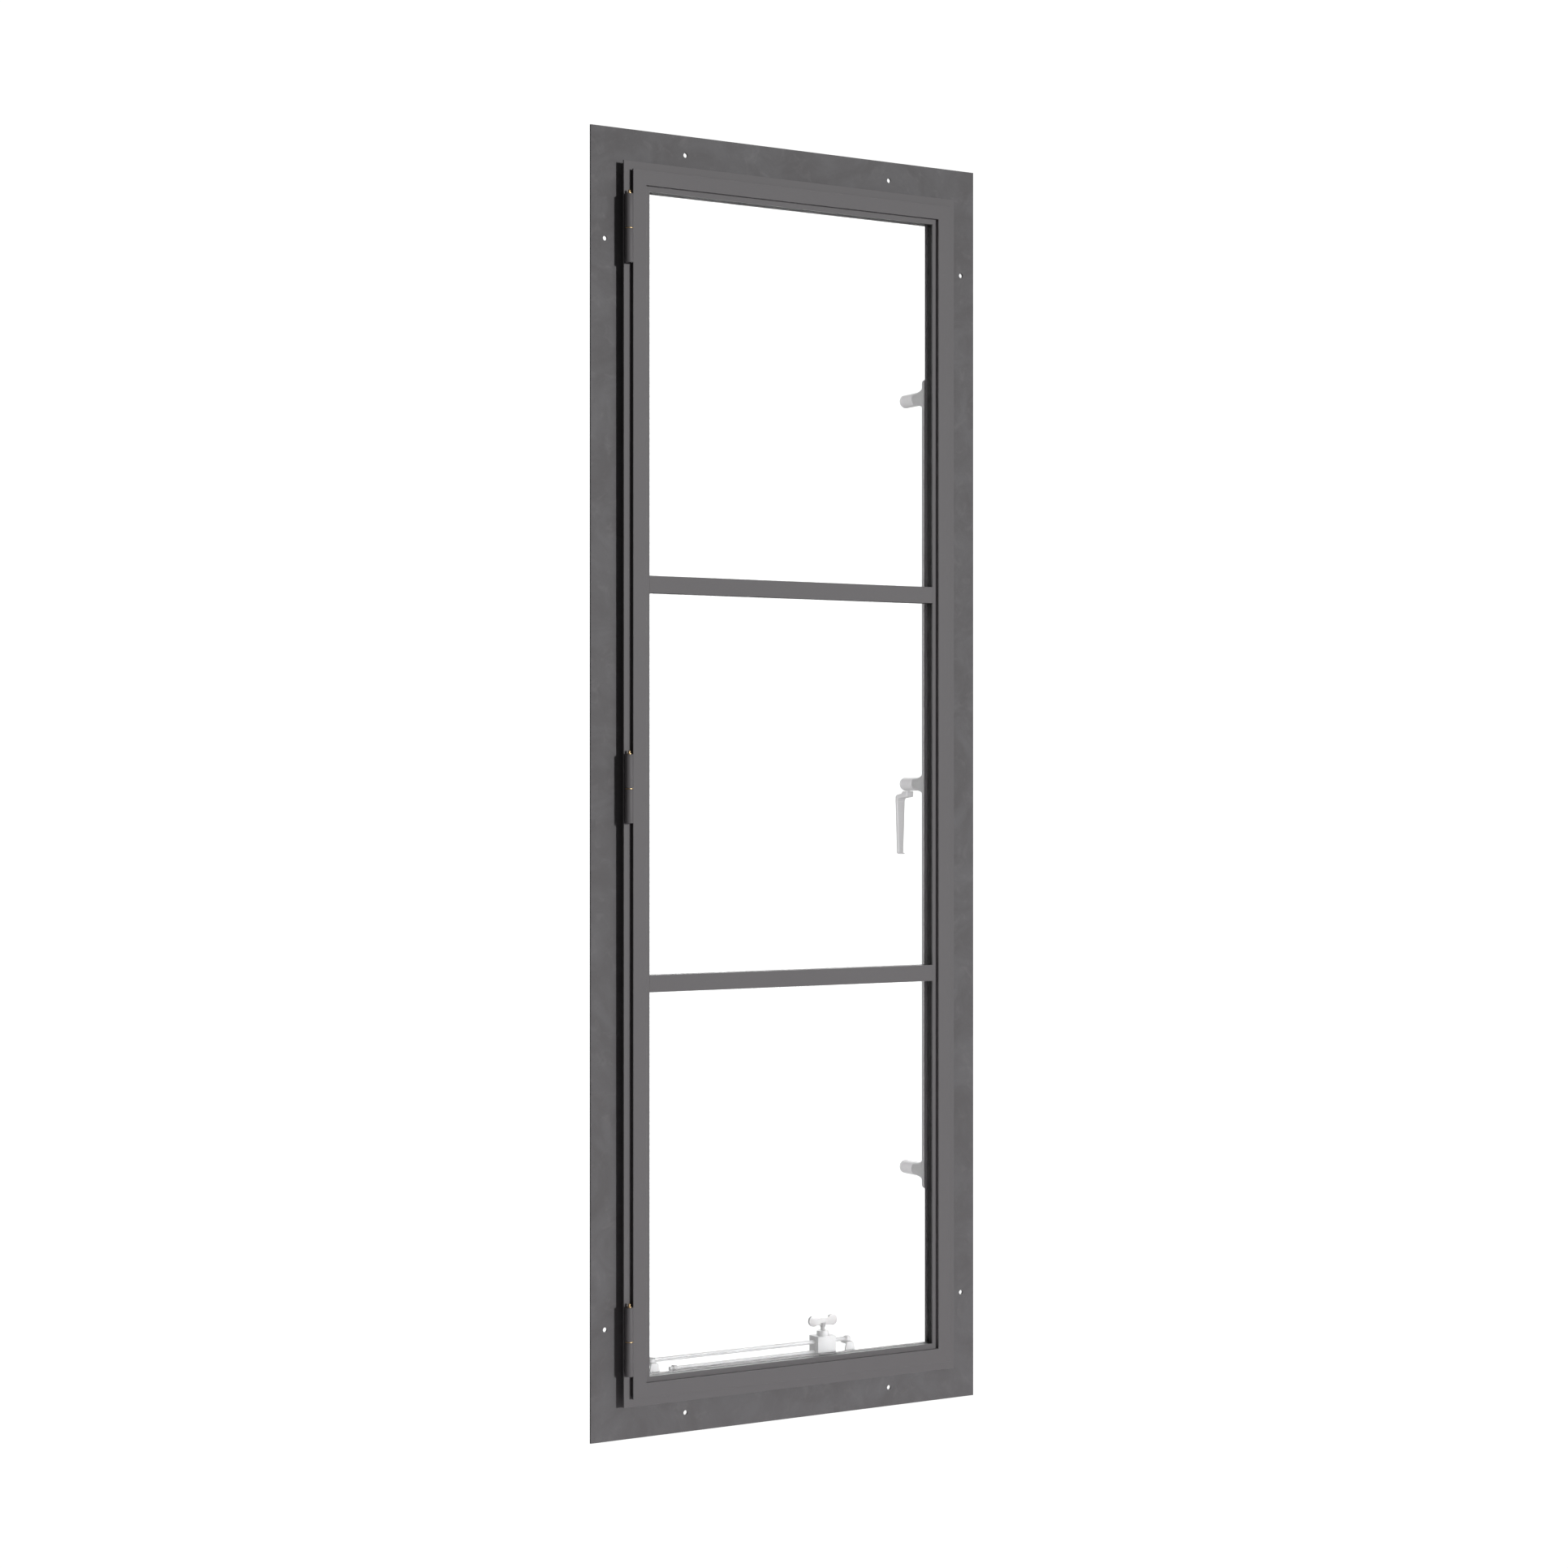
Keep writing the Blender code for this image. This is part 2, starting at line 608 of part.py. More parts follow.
def build_lock_strip(steel, dark, hinge_empty):
    mesh_data = bmesh.new()
    add_prism(mesh_data, stadium(STRIP_WIDTH / 2, STRIP_HALF), STRIP_FRONT, STRIP_BACK, "Y")
    strip = finish(mesh_data, "lock_strip", steel)

    def hollow(mesh_data):
        inner = stadium(STRIP_WIDTH / 2 - STRIP_WALL, STRIP_HALF - STRIP_WALL)
        add_prism(mesh_data, inner, STRIP_FRONT - 0.002, STRIP_BACK - STRIP_WALL, "Y")

    slot_left, slot_right, slot_low, slot_high = TONGUE_SLOT

    def openings(mesh_data):
        for height in BOSS_HEIGHTS:
            z = MIDDLE_Z + height
            add_cylinder(mesh_data, (LOCK_X, STRIP_FRONT, z), STRIP_DEPTH + BASE_LENGTH + 0.002,
                         SPINDLE_RADIUS + GAP, "Y")
            add_box(mesh_data, (LOCK_X + slot_left, STRIP_FRONT - 0.001, z + slot_low),
                    (LOCK_X + slot_right, TONGUE_BACK + GAP / 2, z + slot_high))
        for height in STRIP_SCREWS:
            add_cylinder(mesh_data, (STRIP_SCREW_X, STRIP_FRONT - 0.001, MIDDLE_Z + height),
                         STRIP_DEPTH + 0.002, SCREW_HOLE, "Y", 8)

    def bases(mesh_data):
        for height in BOSS_HEIGHTS:
            add_boss_base(mesh_data, height)

    join_shapes(strip, bases)
    cut(strip, hollow)
    cut(strip, openings)
    hang(strip, hinge_empty)

    # Connecting rod: a flat bar with a notch round each crank pin.
    left = LOCK_X - STRIP_WIDTH / 2 + STRIP_WALL + GAP
    right = LOCK_X - 0.0002
    notch_left = LOCK_X - CRANK_RADIUS - CRANK_PIN - 0.0003
    pin_drop = CRANK_RADIUS * math.sin(math.radians(45))
    reach = CRANK_PIN + CRANK_PLAY
    rod_low, rod_high, rod_front, rod_back = CONNECTING_ROD
    outline = [(left, MIDDLE_Z + rod_low), (right, MIDDLE_Z + rod_low)]
    for height in reversed(BOSS_HEIGHTS):
        z = MIDDLE_Z + height - pin_drop
        outline += [(right, z - reach), (notch_left, z - reach), (notch_left, z + reach),
                    (right, z + reach)]
    outline += [(right, MIDDLE_Z + rod_high), (left, MIDDLE_Z + rod_high)]
    mesh_data = bmesh.new()
    add_prism(mesh_data, outline, STRIP_FRONT + rod_front, STRIP_FRONT + rod_back, "Y")
    finish(mesh_data, "lock_connecting_rod", dark)


def add_boss_base(mesh_data, height):
    """A flared base: long and narrow on the strip, round under the hub."""
    z = MIDDLE_Z + height
    sides = 20
    rings = []
    levels = 6
    for level in range(levels + 1):
        share = level / levels
        flare = (1 - share) ** 3
        y = STRIP_BACK - BASE_SUNK + (BASE_LENGTH + BASE_SUNK) * share
        half_width = HUB_RADIUS + (STRIP_WIDTH / 2 - HUB_RADIUS) * flare
        half_height = HUB_RADIUS + BASE_FLARE * flare
        ring = []
        for index in range(sides):
            angle = 2 * math.pi * index / sides
            ring.append(mesh_data.verts.new((LOCK_X + half_width * math.cos(angle), y,
                                             z + half_height * math.sin(angle))))
        rings.append(ring)
    for lower, upper in zip(rings, rings[1:]):
        for index in range(sides):
            after = (index + 1) % sides
            mesh_data.faces.new((lower[index], lower[after], upper[after], upper[index]))
    mesh_data.faces.new(reversed(rings[0]))
    mesh_data.faces.new(rings[-1])


def build_boss(label, height, steel, dark, hinge_empty):
    z = MIDDLE_Z + height
    hub_start = STRIP_BACK + BASE_LENGTH + GAP
    hub_end = hub_start + HUB_LENGTH
    spindle_end = hub_end - 0.0035

    axis = on_axis("axis_hub_" + label, (LOCK_X, hub_start, z))
    hang(axis, hinge_empty)

    mesh_data = bmesh.new()
    shape = [(HUB_RADIUS, 0.0), (HUB_RADIUS, HUB_LENGTH - 0.0015), (HUB_RADIUS - 0.0015, HUB_LENGTH)]
    add_turned(mesh_data, shape, (LOCK_X, hub_start, z), "Y", 20)
    hub = finish(mesh_data, "boss_hub_" + label, steel, smooth=True)

    def hub_bore(mesh_data):
        add_cylinder(mesh_data, (LOCK_X, hub_start - 0.001, z),
                     spindle_end - hub_start + 0.001 + GAP, SPINDLE_RADIUS + GAP, "Y")
        if height == 0.0:
            add_cylinder(mesh_data, (LOCK_X, LEVER_STEM_Y, z - HUB_RADIUS - 0.001), LEVER_SPIGOT_HOLE,
                         LEVER_SPIGOT + GAP, "Z", 12)

    cut(hub, hub_bore)
    hang(hub, axis)

    # Spindle, with its locking tongue and crank pin as one forged piece.
    mesh_data = bmesh.new()
    tip = LOCK_X + TONGUE_LENGTH
    heel = arc((LOCK_X, z), TONGUE_HALF_WIDTH, 90, 270, 8)
    side = TONGUE_HALF_WIDTH - TONGUE_CORNER
    blade = heel + [(tip - TONGUE_CORNER, z - TONGUE_HALF_WIDTH), (tip, z - side),
                    (tip, z + side), (tip - TONGUE_CORNER, z + TONGUE_HALF_WIDTH)]
    add_prism(mesh_data, blade, TONGUE_FRONT, TONGUE_BACK, "Y")
    spindle = finish(mesh_data, "lock_spindle_" + label, dark)
    pin_offset = CRANK_RADIUS * math.cos(math.radians(45))

    def shaft(mesh_data):
        add_cylinder(mesh_data, (LOCK_X, TONGUE_FRONT + 0.001, z),
                     spindle_end - TONGUE_FRONT - 0.001, SPINDLE_RADIUS, "Y")

    def crank_pin(mesh_data):
        add_cylinder(mesh_data, (LOCK_X - pin_offset, STRIP_FRONT + 0.0006, z - pin_offset),
                     TONGUE_FRONT - STRIP_FRONT + 0.0004, CRANK_PIN, "Y", 10)

    join_shapes(spindle, shaft)
    join_shapes(spindle, crank_pin)
    hang(spindle, axis)
    return axis


def build_lever(steel, axis):
    """Cranked lever: a stem under the hub, a neck towards the room, and a tapering blade."""
    front = LEVER_STEM_Y - LEVER_STEM_RADIUS
    back = LEVER_STEM_Y + LEVER_STEM_RADIUS
    near = LEVER_BLADE_Y
    far = LEVER_BLADE_Y + LEVER_BLADE_THICKNESS
    toe = near - LEVER_TOE
    tip = LEVER_TIP_Z
    stem = LEVER_STEM_RADIUS
    mesh_data = bmesh.new()
    add_strip(mesh_data, LOCK_X, [
        ((front, LEVER_SHOULDER_Z), (back, LEVER_SHOULDER_Z), stem),
        ((front, -0.0185), (back + 0.003, -0.0150), stem),
        ((front + 0.002, -0.0205), (far - 0.003, -0.0165), stem),
        ((near - 0.003, -0.0225), (far, -0.0195), LEVER_WIDE),
        ((near, -0.0270), (far, -0.0270), LEVER_WIDE),
        ((near, tip + 0.0028), (far, tip + 0.0028), LEVER_NARROW),
        ((toe, tip + 0.0020), (far, tip + 0.0020), LEVER_NARROW),
        ((toe, tip), (far - 0.002, tip), LEVER_NARROW),
    ])
    lever = finish(mesh_data, "lock_lever", steel)

    def spigot(mesh_data):
        add_cylinder(mesh_data, (LOCK_X, LEVER_STEM_Y, MIDDLE_Z + LEVER_SHOULDER_Z - 0.002), 0.0062,
                     LEVER_SPIGOT, "Z", 12)

    join_shapes(lever, spigot)
    hang(lever, axis)


def build_keepers(steel):
    x = RIGHT - KEEPER_INSET
    half_width = KEEPER_SIZE[0] / 2
    half_height = KEEPER_SIZE[2] / 2
    front = FRAME_BACK + GAP
    for label, height in zip(BOSS_LABELS, BOSS_HEIGHTS):
        z = MIDDLE_Z + height
        mesh_data = bmesh.new()
        add_box(mesh_data, (x - half_width, front, z - half_height),
                (x + half_width, front + KEEPER_SIZE[1], z + half_height))
        keeper = finish(mesh_data, "lock_keeper_" + label, steel)

        def screw_holes(mesh_data, z=z):
            for step in (-KEEPER_SCREW_STEP, KEEPER_SCREW_STEP):
                add_cylinder(mesh_data, (x, front - 0.001, z + step), KEEPER_SIZE[1] + 0.002,
                             SCREW_HOLE, "Y", 8)

        cut(keeper, screw_holes)


# ---------------------------------------------------------------- the stay
def stay_frame_screws():
    x = LEFT + STAY_FRAME_X
    step, height = FRAME_BRACKET_SCREWS
    return [(x - step, MIDDLE_Z + height), (x + step, MIDDLE_Z + height)]


def stay_sash_screws():
    x = LEFT + STAY_SASH_X
    step, height = SASH_BRACKET_SCREWS
    return [(x - step, MIDDLE_Z + height), (x + step, MIDDLE_Z + height)]


def bracket_sections(foot_inner, foot_outer, foot, shelf):
    """Foot plate, shelf towards the room, upright, and the tab that the rod is pinned to."""
    top = STAY_UPPER_Z - TAB_DROP
    upright_back = BRACKET_UPRIGHT_Y + BRACKET_UPRIGHT
    tab_end = STAY_Y + TAB_REACH
    return [
        ((foot_inner, foot), (foot_outer, foot), FOOT_HALF),
        ((foot_inner, shelf + BRACKET_SHEET), (foot_outer, shelf), FOOT_HALF),
        ((BRACKET_UPRIGHT_Y, shelf + BRACKET_SHEET), (upright_back, shelf), UPRIGHT_WIDE),
        ((BRACKET_UPRIGHT_Y, top), (upright_back, top - BRACKET_SHEET), UPRIGHT_NARROW),
        ((tab_end, top), (tab_end, top - BRACKET_SHEET), UPRIGHT_NARROW),
    ]


def frame_bracket_sections():
    """The foot hangs down on the frame's back leg."""
    foot, shelf = FRAME_FOOT_Z
    front = FRAME_BACK + GAP
    return bracket_sections(front, front + BRACKET_SHEET, foot, shelf)


def sash_bracket_sections():
    """The foot stands up on the bottom rail."""
    foot, shelf = SASH_FOOT_Z
    front = SASH_BACK + GAP
    return bracket_sections(front + BRACKET_SHEET, front, foot, shelf)


def build_bracket(name, pivot_x, sections, screws, steel):
    """A bent bracket whose upright narrows from its wide foot to the pivot."""
    tab_bottom = MIDDLE_Z + STAY_UPPER_Z - TAB_DROP - BRACKET_SHEET
    foot_front = min(sections[0][0][0], sections[0][1][0])
    mesh_data = bmesh.new()
    add_strip(mesh_data, pivot_x, sections)
    bracket = finish(mesh_data, name, steel)

    def holes(mesh_data):
        for x, z in screws:
            add_cylinder(mesh_data, (x, foot_front - 0.001, z), BRACKET_SHEET + 0.002,
                         SCREW_HOLE, "Y", 8)
        add_cylinder(mesh_data, (pivot_x, STAY_Y, tab_bottom - 0.001), BRACKET_SHEET + 0.002,
                     PIVOT_PIN + GAP, "Z", 12)

    cut(bracket, holes)
    return bracket


def add_pivot_pin(mesh_data, x, bottom):
    """A pivot pin with a domed head over the rod's eye."""
    head = STAY_UPPER_Z + EYE_HALF + GAP
    shape = [(PIVOT_PIN, bottom), (PIVOT_PIN, head), (PIVOT_HEAD, head), (PIVOT_HEAD, head + 0.0007),
             (PIVOT_HEAD * 0.72, head + 0.0015), (PIVOT_HEAD * 0.25, head + 0.0019)]
    add_turned(mesh_data, shape, (x, STAY_Y, MIDDLE_Z), "Z", 12)


def build_stay(steel, dark, hinge_empty):
    frame_x = LEFT + STAY_FRAME_X
    sash_x = LEFT + STAY_SASH_X
    block_x = LEFT + BLOCK_X
    upper = MIDDLE_Z + STAY_UPPER_Z
    lower = MIDDLE_Z + STAY_LOWER_Z
    tab_top = STAY_UPPER_Z - TAB_DROP

    build_bracket("stay_bracket_frame", frame_x, frame_bracket_sections(), stay_frame_screws(), steel)
    bracket = build_bracket("stay_bracket_sash", sash_x, sash_bracket_sections(), stay_sash_screws(), steel)
    hang(bracket, hinge_empty)

    mesh_data = bmesh.new()
    add_pivot_pin(mesh_data, frame_x, tab_top - BRACKET_SHEET - 0.001)
    finish(mesh_data, "stay_pin_frame", dark, smooth=True)

    swing = on_axis("axis_stay", (frame_x, STAY_Y, upper))

    # Upper rod with its eye, fixed in the clamp block.
    block_left = block_x - BLOCK_SIZE[0] / 2
    mesh_data = bmesh.new()
    rod_start = frame_x + PIVOT_HEAD + GAP
    add_cylinder(mesh_data, (rod_start, STAY_Y, upper), block_left + SOCKET_DEPTH - rod_start, ROD_RADIUS,
                 "X", 12)
    rod = finish(mesh_data, "stay_upper_rod", steel, smooth=True)
    shape_eye(rod, frame_x, upper)
    hang(rod, swing)

    # Clamp block: upper rod's socket, through bore for the lower rod, threaded hole for the screw.
    half_x, half_y, half_z = (value / 2 for value in BLOCK_SIZE)
    block_z = (upper + lower) / 2
    mesh_data = bmesh.new()
    add_box(mesh_data, (block_x - half_x, STAY_Y - half_y, block_z - half_z),
            (block_x + half_x, STAY_Y + half_y, block_z + half_z))
    block = finish(mesh_data, "stay_clamp_block", steel)
    collar_top = block_z + half_z + COLLAR_HEIGHT

    def collar(mesh_data):
        add_cylinder(mesh_data, (block_x, STAY_Y, block_z + half_z - 0.002), COLLAR_HEIGHT + 0.002,
                     COLLAR_RADIUS, "Z")

    def socket(mesh_data):
        add_cylinder(mesh_data, (block_left - 0.001, STAY_Y, upper), SOCKET_DEPTH + 0.001 + GAP,
                     ROD_RADIUS + GAP, "X", 12)

    def rod_bore(mesh_data):
        add_cylinder(mesh_data, (block_x - half_x - 0.001, STAY_Y, lower), BLOCK_SIZE[0] + 0.002,
                     ROD_RADIUS + GAP, "X", 12)

    def screw_bore(mesh_data):
        add_cylinder(mesh_data, (block_x, STAY_Y, lower), collar_top - lower + 0.001,
                     SCREW_SHAFT + GAP, "Z", 12)

    join_shapes(block, collar)
    cut(block, socket)
    cut(block, rod_bore)
    cut(block, screw_bore)
    hang(block, swing)

    # Thumbscrew: shaft down to the lower rod, neck and two round wings.
    screw_axis = on_axis("axis_thumbscrew", (block_x, STAY_Y, collar_top))
    hang(screw_axis, swing)
    mesh_data = bmesh.new()
    foot = lower + ROD_RADIUS + GAP - collar_top
    shape = [(SCREW_SHAFT, foot), (SCREW_SHAFT, 0.0045), (0.0045, 0.0080), (0.0052, 0.0120)]
    add_turned(mesh_data, shape, (block_x, STAY_Y, collar_top), "Z", 12)
    screw = finish(mesh_data, "stay_thumbscrew", dark, smooth=True)
    wing_z = MIDDLE_Z + WING_Z

    def wings(mesh_data):
        outline = arc((block_x + WING_REACH, wing_z), WING_RADIUS, -125, 150, 11)
        outline += arc((block_x - WING_REACH, wing_z), WING_RADIUS, 30, 305, 11)
        add_prism(mesh_data, outline, STAY_Y - WING_HALF, STAY_Y + WING_HALF, "Y")

    join_shapes(screw, wings)
    hang(screw, screw_axis)

    # Lower rod: runs through the block, cranks up behind it, and ends in the arm's eye.
    slide = on_axis("axis_lower_rod", (block_x, STAY_Y, lower))
    hang(slide, swing)
    crank_x = block_x + half_x + ROD_RADIUS + 0.0006
    rod = bent_rod("stay_lower_rod", [
        (LEFT + LOWER_ROD_START, lower), (crank_x, lower), (crank_x, upper), (sash_x - 0.004, upper),
    ], steel)

    def pivot_stud(mesh_data):
        shape = [(PIVOT_PIN, -TAB_DROP + 2 * GAP), (PIVOT_PIN, -EYE_HALF + GAP),
                 (EYE_RADIUS, -EYE_HALF + GAP), (EYE_RADIUS, EYE_HALF),
                 (PIVOT_HEAD, EYE_HALF), (PIVOT_HEAD, EYE_HALF + 0.0010),
                 (PIVOT_HEAD * 0.72, EYE_HALF + 0.0018), (PIVOT_HEAD * 0.25, EYE_HALF + 0.0022)]
        add_turned(mesh_data, shape, (sash_x, STAY_Y, upper), "Z", 16)

    join_shapes(rod, pivot_stud)
    hang(rod, slide)

    mesh_data = bmesh.new()
    stop_start = LEFT + STOP_X - STOP_LENGTH / 2
    add_cylinder(mesh_data, (stop_start, STAY_Y, lower), STOP_LENGTH, STOP_RADIUS, "X")
    stop = finish(mesh_data, "stay_stop_collar", dark, smooth=True)

    def stop_bore(mesh_data):
        add_cylinder(mesh_data, (stop_start - 0.001, STAY_Y, lower), STOP_LENGTH + 0.002,
                     ROD_RADIUS + GAP, "X", 12)

    cut(stop, stop_bore)
    hang(stop, slide)


def shape_eye(rod, x, z):
    """Weld a flat eye to a rod's end and bore it for the pivot pin."""
    def disc(mesh_data):
        add_cylinder(mesh_data, (x, STAY_Y, z - EYE_HALF), 2 * EYE_HALF, EYE_RADIUS, "Z")

    def bore(mesh_data):
        add_cylinder(mesh_data, (x, STAY_Y, z - 0.004), 0.008, PIVOT_PIN + GAP, "Z", 12)

    join_shapes(rod, disc)
    cut(rod, bore)


def bent_rod(name, corners, material):
    """A round rod through (x, z) corners, bent where it turns."""
    path = [corners[0]]
    for before, here, after in zip(corners, corners[1:], corners[2:]):
        into = Vector(here) - Vector(before)
        out = Vector(after) - Vector(here)
        into.normalize()
        out.normalize()
        for step in range(5):
            share = step / 4
            turn = share * math.pi / 2
            back = into * ROD_BEND * (1 - math.sin(turn))
            on = out * ROD_BEND * (1 - math.cos(turn))
            path.append(tuple(Vector(here) - back + on))
    path.append(corners[-1])
    mesh_data = bmesh.new()
    rings = []
    for index, (x, z) in enumerate(path):
        before = Vector(path[max(index - 1, 0)])
        after = Vector(path[min(index + 1, len(path) - 1)])
        direction = (after - before).normalized()
        normal = Vector((-direction.y, direction.x))
        ring = []
        for side in range(12):
            angle = 2 * math.pi * side / 12
            across = ROD_RADIUS * math.cos(angle)
            ring.append(mesh_data.verts.new((x + normal.x * across, STAY_Y + ROD_RADIUS * math.sin(angle),
                                             z + normal.y * across)))
        rings.append(ring)
    for lower, upper in zip(rings, rings[1:]):
        for side in range(12):
            after = (side + 1) % 12
            mesh_data.faces.new((lower[side], lower[after], upper[after], upper[side]))
    mesh_data.faces.new(reversed(rings[0]))
    mesh_data.faces.new(rings[-1])
    return finish(mesh_data, name, material, smooth=True)


# ---------------------------------------------------------------- assembly
def main():
    clear_scene()
    paint = make_material("charcoal_paint", (0.147, 0.141, 0.147), 0.45, 0.0)
    plate = make_material("flange_steel", (0.120, 0.118, 0.122), 0.6, 0.3)
    rubber = make_material("black_rubber", (0.012, 0.012, 0.012), 0.8, 0.0)
    glass = make_material("clear_glass", (0.80, 0.88, 0.86), 0.03, 0.0, alpha=0.25)
    brass = make_material("brass", (0.55, 0.38, 0.16), 0.35, 1.0)
    steel = make_material("zinc_steel", (0.55, 0.55, 0.54), 0.35, 1.0)
    dark = make_material("dark_steel", (0.20, 0.20, 0.21), 0.4, 1.0)

    hinge_empty = on_axis("axis_sash", (HINGE_X, HINGE_Y, MIDDLE_Z))
    build_flange(plate)
    build_frame(paint, rubber)
    build_sash_bars(paint, hinge_empty)
    build_glazing(glass, rubber, paint, hinge_empty)
    build_hinges(paint, steel, brass, hinge_empty)
    build_lock_strip(steel, dark, hinge_empty)
    axes = {}
    for label, height in zip(BOSS_LABELS, BOSS_HEIGHTS):
        axes[label] = build_boss(label, height, steel, dark, hinge_empty)
    build_lever(steel, axes["middle"])
    build_keepers(dark)
    build_stay(steel, dark, hinge_empty)


main()
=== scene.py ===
import json
import math

import bmesh
import bpy
from mathutils import Matrix, Vector


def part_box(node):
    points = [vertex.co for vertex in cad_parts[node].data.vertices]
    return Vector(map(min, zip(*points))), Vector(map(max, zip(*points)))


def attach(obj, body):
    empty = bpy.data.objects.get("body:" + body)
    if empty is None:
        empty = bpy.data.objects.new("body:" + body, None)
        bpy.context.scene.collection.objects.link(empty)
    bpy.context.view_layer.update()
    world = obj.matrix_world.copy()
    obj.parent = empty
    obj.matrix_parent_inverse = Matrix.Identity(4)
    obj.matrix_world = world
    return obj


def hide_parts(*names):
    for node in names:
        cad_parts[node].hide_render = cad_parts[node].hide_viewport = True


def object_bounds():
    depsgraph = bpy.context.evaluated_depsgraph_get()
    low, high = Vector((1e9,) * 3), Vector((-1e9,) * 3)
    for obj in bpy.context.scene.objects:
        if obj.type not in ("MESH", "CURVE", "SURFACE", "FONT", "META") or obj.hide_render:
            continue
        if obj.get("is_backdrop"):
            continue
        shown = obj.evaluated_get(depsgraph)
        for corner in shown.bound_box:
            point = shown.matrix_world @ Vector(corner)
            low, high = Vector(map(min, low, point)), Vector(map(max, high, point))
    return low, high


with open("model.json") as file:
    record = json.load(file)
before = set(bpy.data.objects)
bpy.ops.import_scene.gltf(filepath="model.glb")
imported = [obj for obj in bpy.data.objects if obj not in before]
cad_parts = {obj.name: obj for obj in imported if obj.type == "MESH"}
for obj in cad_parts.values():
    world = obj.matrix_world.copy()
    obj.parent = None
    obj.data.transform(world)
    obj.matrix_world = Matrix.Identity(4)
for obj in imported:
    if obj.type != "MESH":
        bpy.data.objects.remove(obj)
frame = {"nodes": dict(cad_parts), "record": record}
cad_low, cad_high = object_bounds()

# ================================================================ the studio
# The window hangs in a white studio at the height of a sill above a pale floor. One key lamp from
# the front right gives the shadows, a tall soft box shows in the glass, and a lamp in the room lights
# the back.
MM = 0.001
MIDDLE = (cad_low + cad_high) / 2
VIEW_ANGLE = math.radians(31.7)      # the camera stands to the window's left, level with its middle
VIEW_DISTANCE = 4.644
AIM_X = -0.0076
LENS = 70.5
SENSOR = 36.0
SILL_HEIGHT = 0.90                   # from the floor up to the flange
FLOOR_RADIUS = 2.6
SURROUND_LIGHT = 0.10
KEY_ANGLE = math.radians(19.5)
KEY_RISE = math.radians(7)
KEY_LIGHT = 2.25
FILL_LIGHT = 4.8
FILL_SIDE = Vector((-3.2, -2.6, 0.4))
SHEEN_LIGHT = 5.2                    # brightness of the soft box that the glass mirrors
SHEEN_SIZE = (1.5, 3.9)
LAMP_DISTANCE = 4
ROOM_LIGHT = 12.0
ROOM_LAMP_PLACE = (2.0, 3.4, 2.5)
BACKDROP_LIGHT = 1.05                # brightness of the white that the camera sees behind the window


def lamp(name, kind, place, aim, energy, size=(1.0, 1.0)):
    """A lamp at place, pointed at aim. An area lamp's energy comes from its brightness."""
    data = bpy.data.lights.new(name, kind)
    if kind == "AREA":
        data.shape = "RECTANGLE"
        data.size, data.size_y = size
        energy = energy * math.pi * size[0] * size[1]
    data.energy = energy
    item = bpy.data.objects.new(name, data)
    bpy.context.scene.collection.objects.link(item)
    item.location = place
    item.rotation_euler = (Vector(aim) - Vector(place)).to_track_quat("-Z", "Y").to_euler()
    item.visible_camera = False
    item.visible_transmission = False
    return item


aim = Vector((AIM_X, 0.0, MIDDLE.z))
heading = Vector((math.sin(VIEW_ANGLE), math.cos(VIEW_ANGLE), 0.0))
camera_data = bpy.data.cameras.new("camera")
camera_data.lens = LENS
camera_data.sensor_width = SENSOR
camera = bpy.data.objects.new("camera", camera_data)
bpy.context.scene.collection.objects.link(camera)
camera.location = aim - heading * VIEW_DISTANCE
camera.rotation_euler = heading.to_track_quat("-Z", "Y").to_euler()
bpy.context.scene.camera = camera
bpy.context.scene.view_settings.view_transform = "Standard"

key_from = Vector((math.sin(KEY_ANGLE), -math.cos(KEY_ANGLE), math.tan(KEY_RISE)))
key = lamp("key_lamp", "SUN", aim + key_from * LAMP_DISTANCE, aim, KEY_LIGHT)
key.data.angle = math.radians(5)
sheen_from = Vector((math.sin(VIEW_ANGLE), -math.cos(VIEW_ANGLE), 0.0))
sheen = lamp("soft_box", "AREA", aim + sheen_from * LAMP_DISTANCE, aim, SHEEN_LIGHT, SHEEN_SIZE)
sheen.visible_diffuse = False
fill = lamp("hardware_fill", "SUN", aim + FILL_SIDE, aim, FILL_LIGHT)
fill.data.use_shadow = False         # it reaches only the lock's fittings, which the stile shades
filled = bpy.data.collections.new("lit_by_fill")
fill.light_linking.receiver_collection = filled
lamp("room_lamp", "AREA", ROOM_LAMP_PLACE, aim, ROOM_LIGHT, (2.0, 2.4))

world = bpy.data.worlds.new("studio")
world.use_nodes = True
bpy.context.scene.world = world
sky = world.node_tree.nodes
rays = sky.new("ShaderNodeLightPath")
seen = sky.new("ShaderNodeMath")
seen.operation = "MAXIMUM"
world.node_tree.links.new(rays.outputs["Is Camera Ray"], seen.inputs[0])
world.node_tree.links.new(rays.outputs["Is Transmission Ray"], seen.inputs[1])
strength = sky.new("ShaderNodeMapRange")
strength.inputs["To Min"].default_value = SURROUND_LIGHT
strength.inputs["To Max"].default_value = BACKDROP_LIGHT
world.node_tree.links.new(seen.outputs[0], strength.inputs["Value"])
world.node_tree.links.new(strength.outputs[0], sky["Background"].inputs["Strength"])
sky["Background"].inputs["Color"].default_value = (1, 1, 1, 1)


# ================================================================ fixing flange
# Four flat bars of 3 mm hot-rolled steel, mitred and butt-welded at the corners, and ground flush.
# The mill scale shows through the thin primer as soft clouds. Eight 7 mm holes take the wall screws.
BODIES = frame["record"]["behaviour"]["bodies"]
home = {node: body for body, nodes in BODIES.items() for node in nodes}


